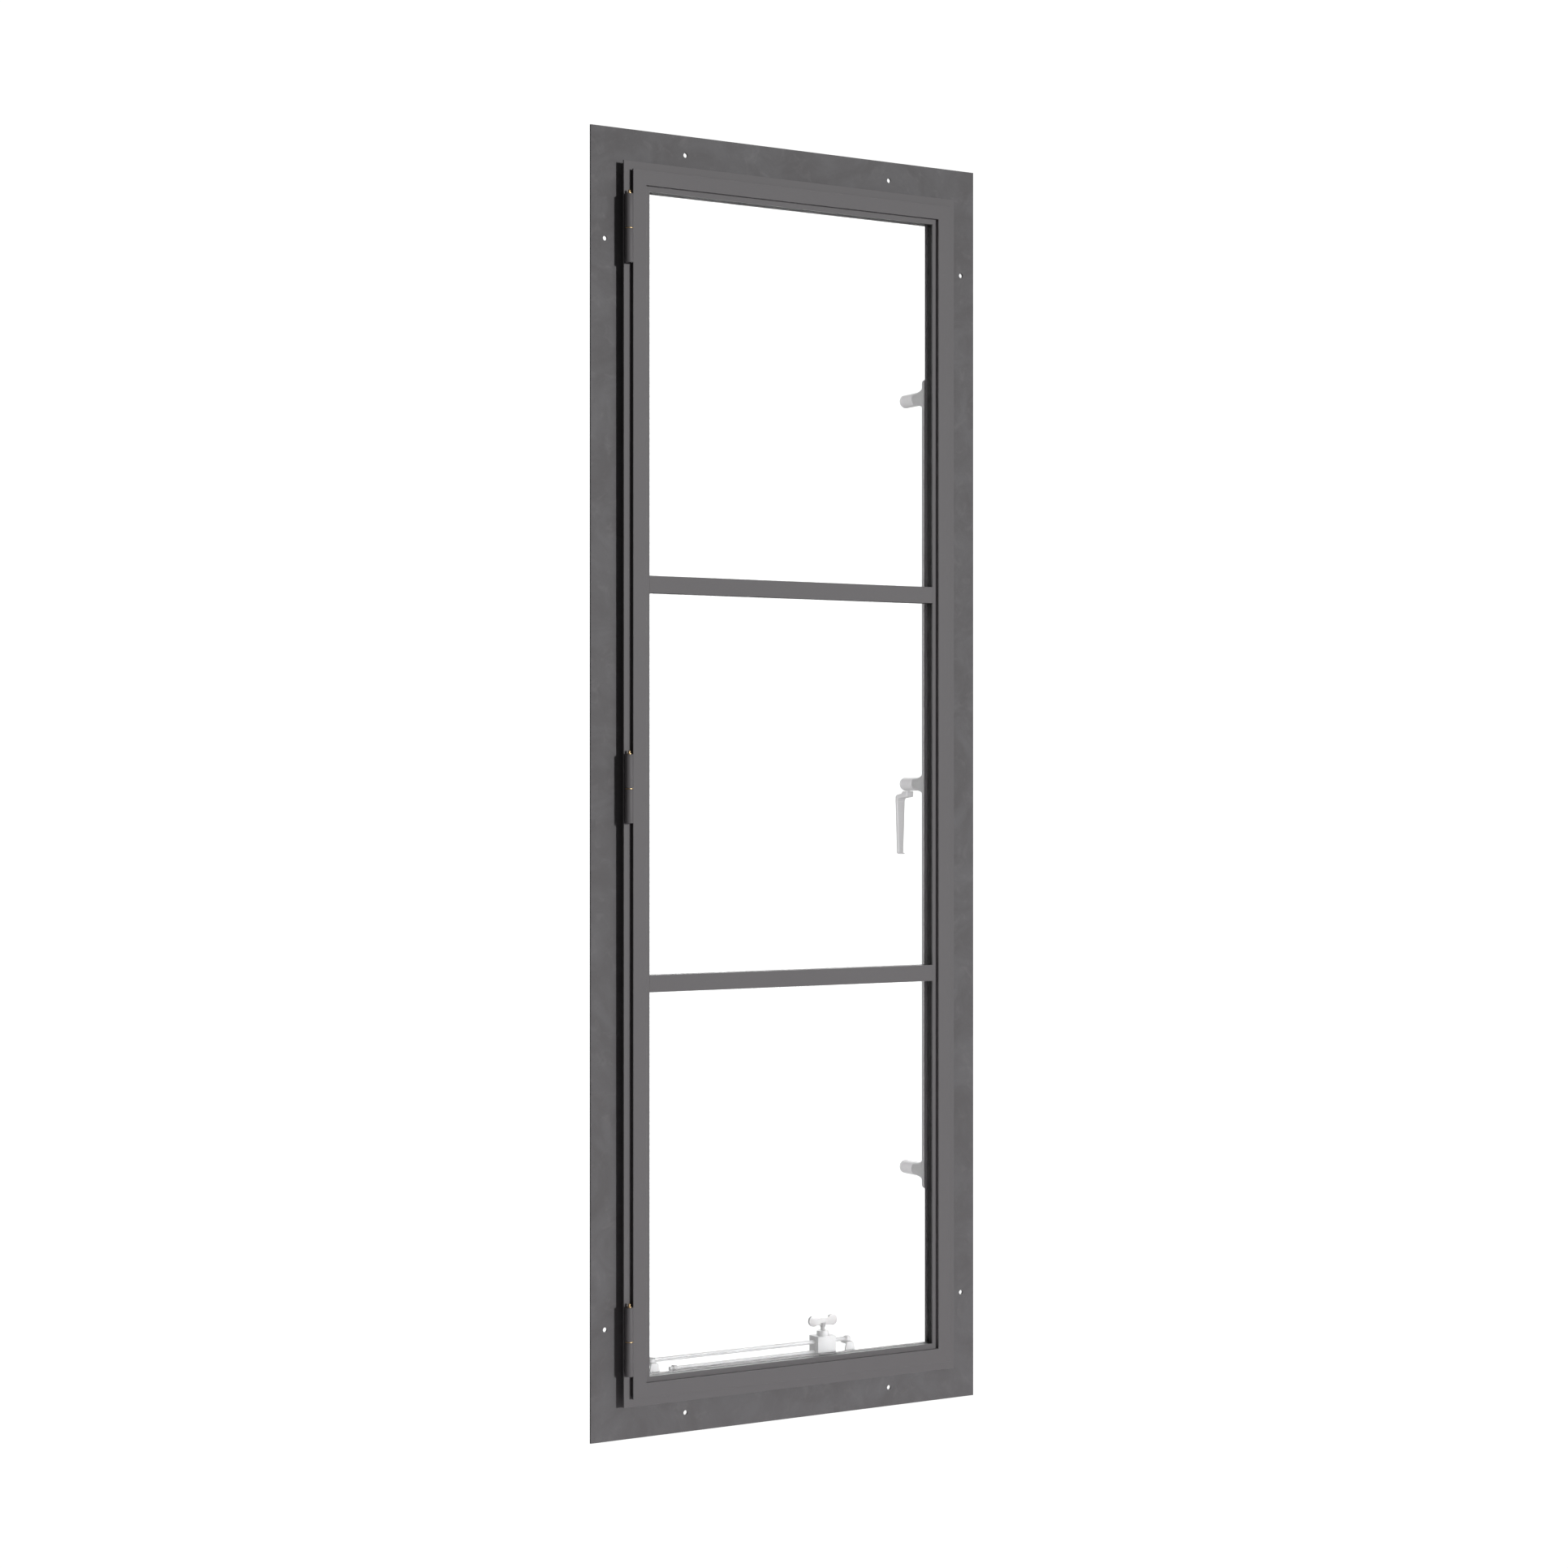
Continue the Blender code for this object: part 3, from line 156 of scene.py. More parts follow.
class Shade:
    """A value in a finish. Sums written on it add the Math nodes that work them out."""

    def __init__(self, finish, socket):
        self.finish = finish
        self.socket = socket

    def worked(self, operation, first, second):
        made = self.finish.add("ShaderNodeMath", {"operation": operation}, {0: first, 1: second})
        return Shade(self.finish, made.outputs[0])

    def __add__(self, other):
        return self.worked("ADD", self, other)

    def __sub__(self, other):
        return self.worked("SUBTRACT", self, other)

    def __mul__(self, other):
        return self.worked("MULTIPLY", self, other)

    def __rsub__(self, other):
        return self.worked("SUBTRACT", other, self)

    __radd__ = __add__
    __rmul__ = __mul__


class Finish:
    """A material under construction: one Principled shader and the nodes that feed it."""

    def __init__(self, name, **even):
        self.material = bpy.data.materials.new(name)
        self.material.use_nodes = True
        self.tree = self.material.node_tree
        self.shader = self.tree.nodes["Principled BSDF"]
        self.place = Shade(self, self.add("ShaderNodeTexCoord").outputs["Object"])
        for socket, value in even.items():
            self.shader.inputs[socket.replace("_", " ")].default_value = value

    def add(self, kind, settings=None, inputs=None):
        node = self.tree.nodes.new(kind)
        for setting, value in (settings or {}).items():
            setattr(node, setting, value)
        for socket, value in (inputs or {}).items():
            self.feed(node.inputs[socket], value)
        return node

    def feed(self, socket, value):
        if isinstance(value, Shade):
            self.tree.links.new(value.socket, socket)
        else:
            socket.default_value = value

    def noise(self, size, detail=3.0, rough=0.55, stretch=(1, 1, 1), distortion=0.0):
        """Cloudy noise from 0 to 1, whose spots are about size metres across."""
        place = self.place
        if tuple(stretch) != (1, 1, 1):
            place = Shade(self, self.add("ShaderNodeMapping", None, {
                "Vector": place, "Scale": stretch}).outputs[0])
        made = self.add("ShaderNodeTexNoise", None, {
            "Vector": place, "Scale": 1.0 / size, "Detail": detail, "Roughness": rough,
            "Distortion": distortion})
        return Shade(self, made.outputs[0])

    def stepped(self, value, low, high):
        """0 below low, 1 above high, and smooth between."""
        made = self.add("ShaderNodeMapRange", {"interpolation_type": "SMOOTHSTEP"}, {
            "Value": value, "From Min": low, "From Max": high})
        return Shade(self, made.outputs[0])

    def tinted(self, share, first, second):
        made = self.add("ShaderNodeMix", {"data_type": "RGBA"}, {0: share, 6: first, 7: second})
        return Shade(self, made.outputs[2])

    def finished(self, colour, roughness, height=None, depth=0.0, strength=1.0):
        self.feed(self.shader.inputs["Base Color"], colour)
        self.feed(self.shader.inputs["Roughness"], roughness)
        if height is not None:
            bump = self.add("ShaderNodeBump", None, {
                "Strength": strength, "Distance": depth, "Height": height})
            self.feed(self.shader.inputs["Normal"], Shade(self, bump.outputs[0]))
        return self.material


def grey(level, warm=0.0):
    """A linear grey with a trace of violet, warmed or cooled a little."""
    return (level * (1.02 + warm), level * 0.98, level * (1.02 - warm * 0.6), 1.0)


def mill_scale(name, level, rubbed):
    """Primed hot-rolled steel: slow clouds, smaller blotches, pinhead scale and wiping marks."""
    steel = Finish(name, Specular_IOR_Level=0.25)
    clouds = steel.stepped(steel.noise(0.085, 5.0, 0.62, distortion=1.3), 0.30, 0.72)
    blotches = steel.stepped(steel.noise(0.020, 4.0, 0.6, distortion=0.8), 0.52, 0.74)
    wipes = steel.stepped(steel.noise(0.012, 3.0, 0.5, (0.16, 1, 1), 0.4), 0.60, 0.86)
    scale = steel.noise(0.0012, 2.0, 0.5)
    colour = steel.tinted(clouds, grey(level * 0.86, 0.012), grey(level * 1.02, -0.012))
    colour = steel.tinted(blotches * 0.32, colour, grey(level * 1.24, 0.01))
    colour = steel.tinted(wipes * 0.16, colour, grey(level * 1.30, 0.03))
    colour = steel.tinted(steel.stepped(scale, 0.60, 0.80) * 0.35, colour, grey(level * 0.62))
    if rubbed:
        colour = steel.tinted(0.35, colour, grey(level * 1.7))
    roughness = 0.60 - clouds * 0.06 - blotches * 0.05 + scale * 0.06
    return steel.finished(colour, roughness, clouds * 0.3 + scale, 0.00008, 0.35)


def link(mesh, name, materials):
    item = bpy.data.objects.new(name, mesh)
    for material in materials:
        mesh.materials.append(material)
    bpy.context.scene.collection.objects.link(item)
    return item


def made_from(shape, name, materials, angle=None):
    """Turn a bmesh into an object. Faces that meet at less than angle are shaded as one surface."""
    bmesh.ops.recalc_face_normals(shape, faces=shape.faces)
    mesh = bpy.data.meshes.new(name)
    shape.to_mesh(mesh)
    shape.free()
    if angle is not None:
        mesh.shade_smooth()
        mesh.set_sharp_from_angle(angle=math.radians(angle))
    return link(mesh, name, materials)


def eased(item, width, segments=3, by_weight=False):
    """Round a piece's edges over. The rounding takes the piece's second material, the rubbed one."""
    for plate in item.data.polygons:
        plate.use_smooth = True
    bevel = item.modifiers.new("eased_edges", "BEVEL")
    bevel.width = width
    bevel.segments = segments
    bevel.limit_method = "WEIGHT" if by_weight else "ANGLE"
    bevel.angle_limit = math.radians(28)
    bevel.harden_normals = True
    bevel.use_clamp_overlap = True
    if len(item.data.materials) > 1:
        bevel.material = 1
    return item


def stands_for(item, node):
    """The finished piece rides where its CAD node rides, and is shown instead of it."""
    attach(item, home[node])
    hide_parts(node)


def surround(nodes):
    """Outer and inner rectangle (x0, z0, x1, z1) of four mitred bars: top, bottom, left, right."""
    top, bottom, left, right = (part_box(node) for node in nodes)
    outer = (left[0].x, bottom[0].z, right[1].x, top[1].z)
    inner = (left[1].x, bottom[1].z, right[0].x, top[0].z)
    return outer, inner


def add_bar(shape, ends):
    """A bar between two outlines: its long edges are to be rounded, and its ends stay crisp."""
    weight = shape.edges.layers.float.get("bevel_weight_edge")
    if weight is None:
        weight = shape.edges.layers.float.new("bevel_weight_edge")
    loops = [[shape.verts.new(point) for point in end] for end in ends]
    count = len(loops[0])
    for index in range(count):
        after = (index + 1) % count
        shape.faces.new((loops[0][index], loops[0][after], loops[1][after], loops[1][index]))
    shape.faces.new(reversed(loops[0]))
    shape.faces.new(loops[1])
    for first, second in zip(*loops):
        shape.edges.get((first, second))[weight] = 1.0
    for loop in loops:
        for index, vert in enumerate(loop):
            shape.edges.get((vert, loop[index - 1])).smooth = False


# where each side of a surround starts and ends, as places in (x0, z0, x1, z1)
CORNERS = {"top": ((0, 3), (2, 3)), "bottom": ((0, 1), (2, 1)), "left": ((0, 1), (0, 3)),
           "right": ((2, 1), (2, 3))}


def add_mitred(shape, side, outer, inner, section, gap=0.0):
    """One side of a mitred surround. section lists (share, y), from 0 outside to 1 inside."""
    along = Vector((gap, 0, 0)) if side in ("top", "bottom") else Vector((0, 0, gap))
    ends = []
    for (x_index, z_index), shift in zip(CORNERS[side], (along, -along)):
        ends.append([Vector((
            outer[x_index] + (inner[x_index] - outer[x_index]) * share, y,
            outer[z_index] + (inner[z_index] - outer[z_index]) * share)) + shift
            for share, y in section])
    add_bar(shape, ends)


def hole_cutter(name, places, radius, low, high, sides=40):
    """Round bars along Y to drill with, each with a place (x, z)."""
    shape = bmesh.new()
    for x, z in places:
        turn = Matrix.Translation((x, (low + high) / 2, z)) @ Matrix.Rotation(math.pi / 2, 4, "X")
        bmesh.ops.create_cone(shape, cap_ends=True, segments=sides, radius1=radius, radius2=radius,
                              depth=high - low, matrix=turn)
    cutter = made_from(shape, name, [])
    cutter.hide_render = True
    cutter.hide_viewport = True
    return cutter


def drilled(item, cutter):
    """Cut the holes and keep the result as a plain mesh, so that no cutter is left in the scene."""
    boolean = item.modifiers.new("holes", "BOOLEAN")
    boolean.operation = "DIFFERENCE"
    boolean.solver = "EXACT"
    boolean.object = cutter
    baked(item, cutter)
    item.data.set_sharp_from_angle(angle=math.radians(35))
    flat = item.modifiers.new("flat_faces", "WEIGHTED_NORMAL")
    flat.keep_sharp = True
    return item


def baked(item, *used):
    """Apply all of an item's modifiers to its mesh and remove the helpers that they used."""
    bpy.context.view_layer.update()
    graph = bpy.context.evaluated_depsgraph_get()
    mesh = bpy.data.meshes.new_from_object(item.evaluated_get(graph), depsgraph=graph)
    old = item.data
    item.modifiers.clear()
    item.data = mesh
    bpy.data.meshes.remove(old)
    mesh.name = item.name
    for helper in used:
        data = helper.data
        bpy.data.objects.remove(helper)
        bpy.data.meshes.remove(data)
    return item


FLANGE = {"top": "flange_head", "bottom": "flange_sill", "left": "flange_hinge_side",
          "right": "flange_lock_side"}
FIXING_HOLE = 3.5 * MM
HOLE_END_X = 181 * MM                 # head and sill holes, from the middle
HOLE_END_INSET = 28.5 * MM
HOLE_SIDE_Z = 796.3 * MM              # side holes, from the middle
HOLE_SIDE_INSET = 23.7 * MM
STEEL_LEVEL = 0.118

flange_steel = mill_scale("flange_steel", STEEL_LEVEL, False)
flange_rim = mill_scale("flange_steel_rim", STEEL_LEVEL * 0.5, True)
outer, inner = surround(FLANGE.values())
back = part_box("flange_head")[1].y
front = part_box("flange_head")[0].y
for side, node in FLANGE.items():
    shape = bmesh.new()
    add_mitred(shape, side, outer, inner, [(0, back), (1, back), (1, front), (0, front)])
    plate = made_from(shape, node + "_plate", [flange_steel, flange_rim])
    eased(plate, 0.35 * MM, 2, by_weight=True)
    if side in ("top", "bottom"):
        z = outer[3] - HOLE_END_INSET if side == "top" else outer[1] + HOLE_END_INSET
        places = [(-HOLE_END_X, z), (HOLE_END_X, z)]
    else:
        x = outer[0] + HOLE_SIDE_INSET if side == "left" else outer[2] - HOLE_SIDE_INSET
        places = [(x, MIDDLE.z - HOLE_SIDE_Z), (x, MIDDLE.z + HOLE_SIDE_Z)]
    drilled(plate, hole_cutter("flange_drill", places, FIXING_HOLE, front - 2 * MM, back + 2 * MM))
    stands_for(plate, node)


# ================================================================ fixed frame
# Folded 3 mm steel: a thin leaf towards the street, a web, and a leg turned back towards the wall.
# The corners are mitred and welded, and the whole frame is sprayed charcoal with a fine peel.
SHEET = 3 * MM
PAINT_LEVEL = 0.128
FRAME = {"top": "frame_head", "bottom": "frame_sill", "left": "frame_jamb_hinge",
         "right": "frame_jamb_lock"}


def sprayed_paint(name, level, rubbed):
    """Satin paint: very faint clouds from the gun, a fine peel, and a few grains of dust."""
    paint = Finish(name, Specular_IOR_Level=0.22)
    clouds = paint.noise(0.16, 3.0, 0.5)
    peel = paint.noise(0.0021, 2.0, 0.45)
    grain = paint.noise(0.00035, 1.0, 0.5)
    dust = paint.stepped(paint.noise(0.0016, 1.0, 0.4), 0.74, 0.80)
    colour = paint.tinted(clouds, grey(level * 0.965, 0.004), grey(level * 1.03, 0.012))
    colour = paint.tinted(dust * 0.22, colour, grey(level * 1.5))
    if rubbed:
        thin = paint.stepped(paint.noise(0.018, 4.0, 0.7), 0.46, 0.66)
        colour = paint.tinted(thin * 0.45 + 0.12, colour, grey(level * 1.9))
    roughness = 0.50 + clouds * 0.06 + grain * 0.05 - dust * 0.10
    if rubbed:
        roughness = roughness - 0.10
    return paint.finished(colour, roughness, peel + grain * 0.25 + dust * 0.8, 0.00005, 0.35)


paint = sprayed_paint("charcoal_paint", PAINT_LEVEL, False)
paint_rim = sprayed_paint("charcoal_paint_rim", PAINT_LEVEL, True)
outer, inner = surround(FRAME.values())
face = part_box("frame_head")[0].y
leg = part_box("frame_head")[1].y
web = 1 - SHEET / (inner[0] - outer[0])
frame_section = [(0, face), (1, face), (1, leg), (0, leg), (0, leg - SHEET), (web, leg - SHEET),
                 (web, face + SHEET), (0, face + SHEET)]
for side, node in FRAME.items():
    shape = bmesh.new()
    add_mitred(shape, side, outer, inner, frame_section)
    section = made_from(shape, node + "_section", [paint, paint_rim])
    stands_for(eased(section, 0.45 * MM, 3, by_weight=True), node)
frame_inner = inner


# ================================================================ stitch welds
# Short runs of weld join the frame's web to the flange on the wall side, and each hinge barrel to its
# leaf. Every run is a row of overlapping drops, flattened where the bead wetted out.
def new_tree(name, inputs):
    """An empty Geometry Nodes tree with a mesh coming in and named inputs for its sizes."""
    tree = bpy.data.node_groups.new(name, "GeometryNodeTree")
    tree.interface.new_socket("Geometry", in_out="INPUT", socket_type="NodeSocketGeometry")
    for label, (kind, value) in inputs.items():
        socket = tree.interface.new_socket(label, in_out="INPUT", socket_type="NodeSocket" + kind)
        if value is not None:
            socket.default_value = value
    tree.interface.new_socket("Geometry", in_out="OUTPUT", socket_type="NodeSocketGeometry")
    entry = tree.nodes.new("NodeGroupInput")
    return tree, entry.outputs


def grown(tree, kind, settings=None, inputs=None):
    """Add a Geometry Nodes node: its settings first, then the values or links of its sockets."""
    node = tree.nodes.new(kind)
    for setting, value in (settings or {}).items():
        setattr(node, setting, value)
    for socket, value in (inputs or {}).items():
        if isinstance(value, bpy.types.NodeSocket):
            tree.links.new(value, node.inputs[socket])
        else:
            node.inputs[socket].default_value = value
    return node


def close_tree(tree, geometry, material):
    """End a tree in real geometry with its material set."""
    real = grown(tree, "GeometryNodeRealizeInstances", None, {"Geometry": geometry})
    coated = grown(tree, "GeometryNodeSetMaterial", None, {
        "Geometry": real.outputs[0], "Material": material})
    smooth = grown(tree, "GeometryNodeSetShadeSmooth", None, {"Geometry": coated.outputs[0]})
    leave = tree.nodes.new("NodeGroupOutput")
    tree.links.new(smooth.outputs[0], leave.inputs[0])


def run_tree(tree, name, points, runs, values):
    """Put points, and the runs that join them, through a tree, and keep the result as a plain mesh."""
    mesh = bpy.data.meshes.new(name)
    mesh.from_pydata(points, runs, [])
    item = bpy.data.objects.new(name, mesh)
    bpy.context.scene.collection.objects.link(item)
    modifier = item.modifiers.new("grow", "NODES")
    modifier.node_group = tree
    sockets = {socket.name: socket.identifier for socket in tree.interface.items_tree
               if socket.in_out == "INPUT"}
    for label, value in values.items():
        modifier[sockets[label]] = value
    return baked(item)


weld_metal = Finish("weld_metal", Specular_IOR_Level=0.3)
ripple = weld_metal.noise(0.0009, 2.0, 0.5)
weld_metal = weld_metal.finished(
    weld_metal.tinted(ripple, grey(PAINT_LEVEL * 0.85), grey(PAINT_LEVEL * 1.15, 0.02)),
    0.42 + ripple * 0.12, ripple, 0.00006, 0.5)

bead_tree, bead_in = new_tree("weld_bead", {
    "Pitch": ("Float", 1.3 * MM), "Radius": ("Float", 1.4 * MM), "Flatness": ("Float", 0.7),
    "Seed": ("Int", 3), "Material": ("Material", None)})
path = grown(bead_tree, "GeometryNodeMeshToCurve", None, {"Mesh": bead_in["Geometry"]})
steps = grown(bead_tree, "GeometryNodeResampleCurve", {"mode": "LENGTH"}, {
    "Curve": path.outputs[0], "Length": bead_in["Pitch"]})
drop = grown(bead_tree, "GeometryNodeMeshIcoSphere", None, {
    "Radius": bead_in["Radius"], "Subdivisions": 2})
jitter = grown(bead_tree, "FunctionNodeRandomValue", {"data_type": "FLOAT"}, {
    2: 0.86, 3: 1.12, "Seed": bead_in["Seed"]})
squash = grown(bead_tree, "ShaderNodeCombineXYZ", None, {
    0: jitter.outputs[1], 1: jitter.outputs[1], 2: bead_in["Flatness"]})
facing = grown(bead_tree, "FunctionNodeAlignRotationToVector", {"axis": "Z"}, {
    "Vector": grown(bead_tree, "GeometryNodeInputTangent").outputs[0]})
drops = grown(bead_tree, "GeometryNodeInstanceOnPoints", None, {
    "Points": steps.outputs[0], "Instance": drop.outputs[0], "Rotation": facing.outputs[0],
    "Scale": squash.outputs[0]})
close_tree(bead_tree, drops.outputs[0], bead_in["Material"])


def weld(name, body, runs, radius):
    """Weld beads along straight runs, each a pair of points."""
    points = [point for run in runs for point in run]
    pairs = [(index, index + 1) for index in range(0, len(points), 2)]
    bead = run_tree(bead_tree, name, points, pairs, {"Radius": radius, "Material": weld_metal})
    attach(bead, body)


STITCH = 26 * MM
STITCH_STEP = 230 * MM
STITCH_RADIUS = 1.5 * MM
wall_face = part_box("flange_head")[1].y + 0.2 * MM
web_outer = (frame_inner[0] - SHEET, frame_inner[1] - SHEET,
             frame_inner[2] + SHEET, frame_inner[3] + SHEET)


def stitches(low, high):
    """Middles of the stitches along a bar, spread evenly and clear of its ends."""
    count = max(2, round((high - low) / STITCH_STEP))
    return [low + (high - low) * (index + 0.5) / count for index in range(count)]


runs = []
for x in (web_outer[0], web_outer[2]):
    for z in stitches(web_outer[1], web_outer[3]):
        runs.append(((x, wall_face, z - STITCH / 2), (x, wall_face, z + STITCH / 2)))
for z in (web_outer[1], web_outer[3]):
    for x in stitches(web_outer[0], web_outer[2]):
        runs.append(((x - STITCH / 2, wall_face, z), (x + STITCH / 2, wall_face, z)))
weld("flange_stitch_welds", "frame", runs, STITCH_RADIUS)


# ================================================================ weatherstrip
# A hollow rubber bulb in the rebate between the two leaves, which the closing sash presses flat.
# It is one length, bent round the corners and joined at the foot.
def moulded_rubber(name):
    """Black EPDM: dull, with a fine bloom and a fine grain."""
    rubber = Finish(name, Specular_IOR_Level=0.35)
    bloom = rubber.noise(0.006, 4.0, 0.6)
    grain = rubber.noise(0.0005, 2.0, 0.5)
    colour = rubber.tinted(bloom, grey(0.010), grey(0.022, 0.02))
    return rubber.finished(colour, 0.62 + grain * 0.2, grain, 0.00006, 0.4)


rubber = moulded_rubber("black_rubber")
seal_tree, seal_in = new_tree("extruded_seal", {
    "Width": ("Float", 2.4 * MM), "Depth": ("Float", 3.4 * MM), "Edge": ("Float", 0.8 * MM),
    "Bend": ("Float", 2 * MM), "Lip": ("Float", 0.4 * MM), "Lip Place": ("Vector", (0, 0, 0)),
    "Material": ("Material", None)})
path = grown(seal_tree, "GeometryNodeMeshToCurve", None, {"Mesh": seal_in["Geometry"]})
upright = grown(seal_tree, "GeometryNodeSetCurveNormal", {"mode": "Z_UP"}, {"Curve": path.outputs[0]})
bent = grown(seal_tree, "GeometryNodeFilletCurve", {"mode": "POLY"}, {
    "Curve": upright.outputs[0], "Radius": seal_in["Bend"], "Count": 5, "Limit Radius": True})
body_line = grown(seal_tree, "GeometryNodeCurvePrimitiveQuadrilateral", None, {
    "Width": seal_in["Width"], "Height": seal_in["Depth"]})
body_round = grown(seal_tree, "GeometryNodeFilletCurve", {"mode": "POLY"}, {
    "Curve": body_line.outputs[0], "Radius": seal_in["Edge"], "Count": 4, "Limit Radius": True})
lip_line = grown(seal_tree, "GeometryNodeCurvePrimitiveCircle", None, {
    "Resolution": 10, "Radius": seal_in["Lip"]})
lip_there = grown(seal_tree, "GeometryNodeSetPosition", None, {
    "Geometry": lip_line.outputs[0], "Offset": seal_in["Lip Place"]})
sweeps = []
for line in (body_round, lip_there):
    sweep = grown(seal_tree, "GeometryNodeCurveToMesh", None, {
        "Curve": bent.outputs[0], "Profile Curve": line.outputs[0]})
    sweeps.append(sweep.outputs[0])
both = seal_tree.nodes.new("GeometryNodeJoinGeometry")
for sweep in sweeps:
    seal_tree.links.new(sweep, both.inputs[0])
standing = grown(seal_tree, "GeometryNodeTransform", None, {
    "Geometry": both.outputs[0], "Rotation": (math.pi / 2, 0, 0)})
close_tree(seal_tree, standing.outputs[0], seal_in["Material"])


def seal(name, node, width, depth, edge, bend, lip=0.0, lip_place=(0, 0, 0)):
    """A closed rubber ring in the place of a ring-shaped node whose bars are width wide."""
    low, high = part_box(node)
    half = width / 2
    x0, z0, x1, z1 = low.x + half, low.z + half, high.x - half, high.z - half
    points = [(x0, z0, 0), (x1, z0, 0), (x1, z1, 0), (x0, z1, 0)]
    ring = run_tree(seal_tree, name, points, [(0, 1), (1, 2), (2, 3), (3, 0)], {
        "Width": width, "Depth": depth, "Edge": edge, "Bend": bend, "Lip": lip,
        "Lip Place": lip_place, "Material": rubber})
    middle_y = (low.y + high.y) / 2
    ring.data.transform(Matrix.Translation((0, middle_y, 0)))
    fixed = bmesh.new()
    fixed.from_mesh(ring.data)
    bmesh.ops.recalc_face_normals(fixed, faces=fixed.faces)
    fixed.to_mesh(ring.data)
    fixed.free()
    stands_for(ring, node)


strip_low, strip_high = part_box("weatherstrip")
strip_width = (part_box("frame_jamb_hinge")[1].x - strip_low.x) - 0.3 * MM
seal("weatherstrip_bulb", "weatherstrip", strip_width, strip_high.y - strip_low.y, 1.0 * MM, 2.5 * MM)


# ================================================================ sash
# Solid rolled sections, mitred and welded like the frame: a raised leaf that laps over the frame, a
# web, and a stepped lip that the glass lies behind. Two T bars divide the opening into three panes.
SASH = {"top": "sash_top_rail", "bottom": "sash_bottom_rail", "left": "sash_hinge_stile",
        "right": "sash_lock_stile"}
WEB_START = 14 * MM                   # from the raised leaf's outer edge
STEP_AT = 22 * MM
LIP_DROP = 5 * MM                     # the lip lies this far behind the raised leaf

outer, inner = surround(SASH.values())
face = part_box("sash_top_rail")[0].y
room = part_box("sash_top_rail")[1].y
width = inner[0] - outer[0]
web, step = WEB_START / width, STEP_AT / width
lip = face + LIP_DROP
sash_section = [(0, face), (step, face), (step, lip), (1, lip), (1, lip + SHEET), (step, lip + SHEET),
                (step, room), (web, room), (web, face + SHEET), (0, face + SHEET)]
for side, node in SASH.items():
    shape = bmesh.new()
    add_mitred(shape, side, outer, inner, sash_section)
    section = made_from(shape, node + "_section", [paint, paint_rim])
    stands_for(eased(section, 0.4 * MM, 3, by_weight=True), node)
opening = inner

BAR_WEB = 6 * MM
for node in ("glazing_bar_upper", "glazing_bar_lower"):
    low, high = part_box(node)
    z = (low.z + high.z) / 2
    foot = low.y + SHEET
    outline = [(low.y, low.z), (foot, low.z), (foot, z - BAR_WEB / 2), (high.y, z - BAR_WEB / 2),
               (high.y, z + BAR_WEB / 2), (foot, z + BAR_WEB / 2), (foot, high.z), (low.y, high.z)]
    shape = bmesh.new()
    add_bar(shape, [[(x, y, height) for y, height in outline] for x in (opening[0], opening[2])])
    bar = made_from(shape, node + "_section", [paint, paint_rim])
    stands_for(eased(bar, 0.4 * MM, 3, by_weight=True), node)


# ================================================================ panes
# Three single panes of clear 6 mm float glass with arrissed edges, which show the glass's green. The
# light of a lamp passes straight through.
def float_glass(name, tint, roughness):
    glass = Finish(name, Transmission_Weight=1.0, IOR=1.5, Roughness=roughness)
    glass.shader.inputs["Base Color"].default_value = tint
    clear = glass.add("ShaderNodeBsdfTransparent", None, {"Color": (0.96, 0.98, 0.97, 1)})
    ray = glass.add("ShaderNodeLightPath")
    mix = glass.add("ShaderNodeMixShader", None, {
        0: Shade(glass, ray.outputs["Is Shadow Ray"]), 1: Shade(glass, glass.shader.outputs[0]),
        2: Shade(glass, clear.outputs[0])})
    output = glass.tree.nodes["Material Output"]
    glass.tree.links.new(mix.outputs[0], output.inputs["Surface"])
    return glass.material


clear_glass = float_glass("clear_glass", (0.985, 0.995, 0.99, 1), 0.0)
glass_edge = float_glass("ground_glass_edge", (0.55, 0.78, 0.70, 1), 0.35)


def add_block(shape, low, high):
    """A rectangular block between two corners."""
    size = Vector(high) - Vector(low)
    place = Matrix.Translation((Vector(high) + Vector(low)) / 2) @ Matrix.Diagonal((*size, 1.0))
    bmesh.ops.create_cube(shape, size=1.0, matrix=place)


for level in ("upper", "middle", "lower"):
    node = "glass_" + level
    shape = bmesh.new()
    add_block(shape, *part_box(node))
    for plate in shape.faces:
        plate.material_index = 0 if abs(plate.normal.y) > 0.5 else 1
    pane = made_from(shape, node + "_pane", [clear_glass, glass_edge])
    stands_for(eased(pane, 0.6 * MM, 2), node)


# ================================================================ glazing gaskets
# A black rubber section bedded between the lip and the glass, with a small bead where it meets the
# pane. One closed ring to a pane, cut to length and glued at the corner.
GASKET_WIDTH = opening[0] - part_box("glazing_gasket_upper")[0].x - 0.3 * MM
GASKET_LIP = 0.55 * MM
for level in ("upper", "middle", "lower"):
    node = "glazing_gasket_" + level
    low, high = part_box(node)
    depth = high.y - low.y
    seal(node + "_rubber", node, GASKET_WIDTH, depth, 0.5 * MM, GASKET_WIDTH / 2 + 0.5 * MM, GASKET_LIP,
         (-GASKET_WIDTH / 2 + GASKET_LIP, -depth / 2 + GASKET_LIP, 0))


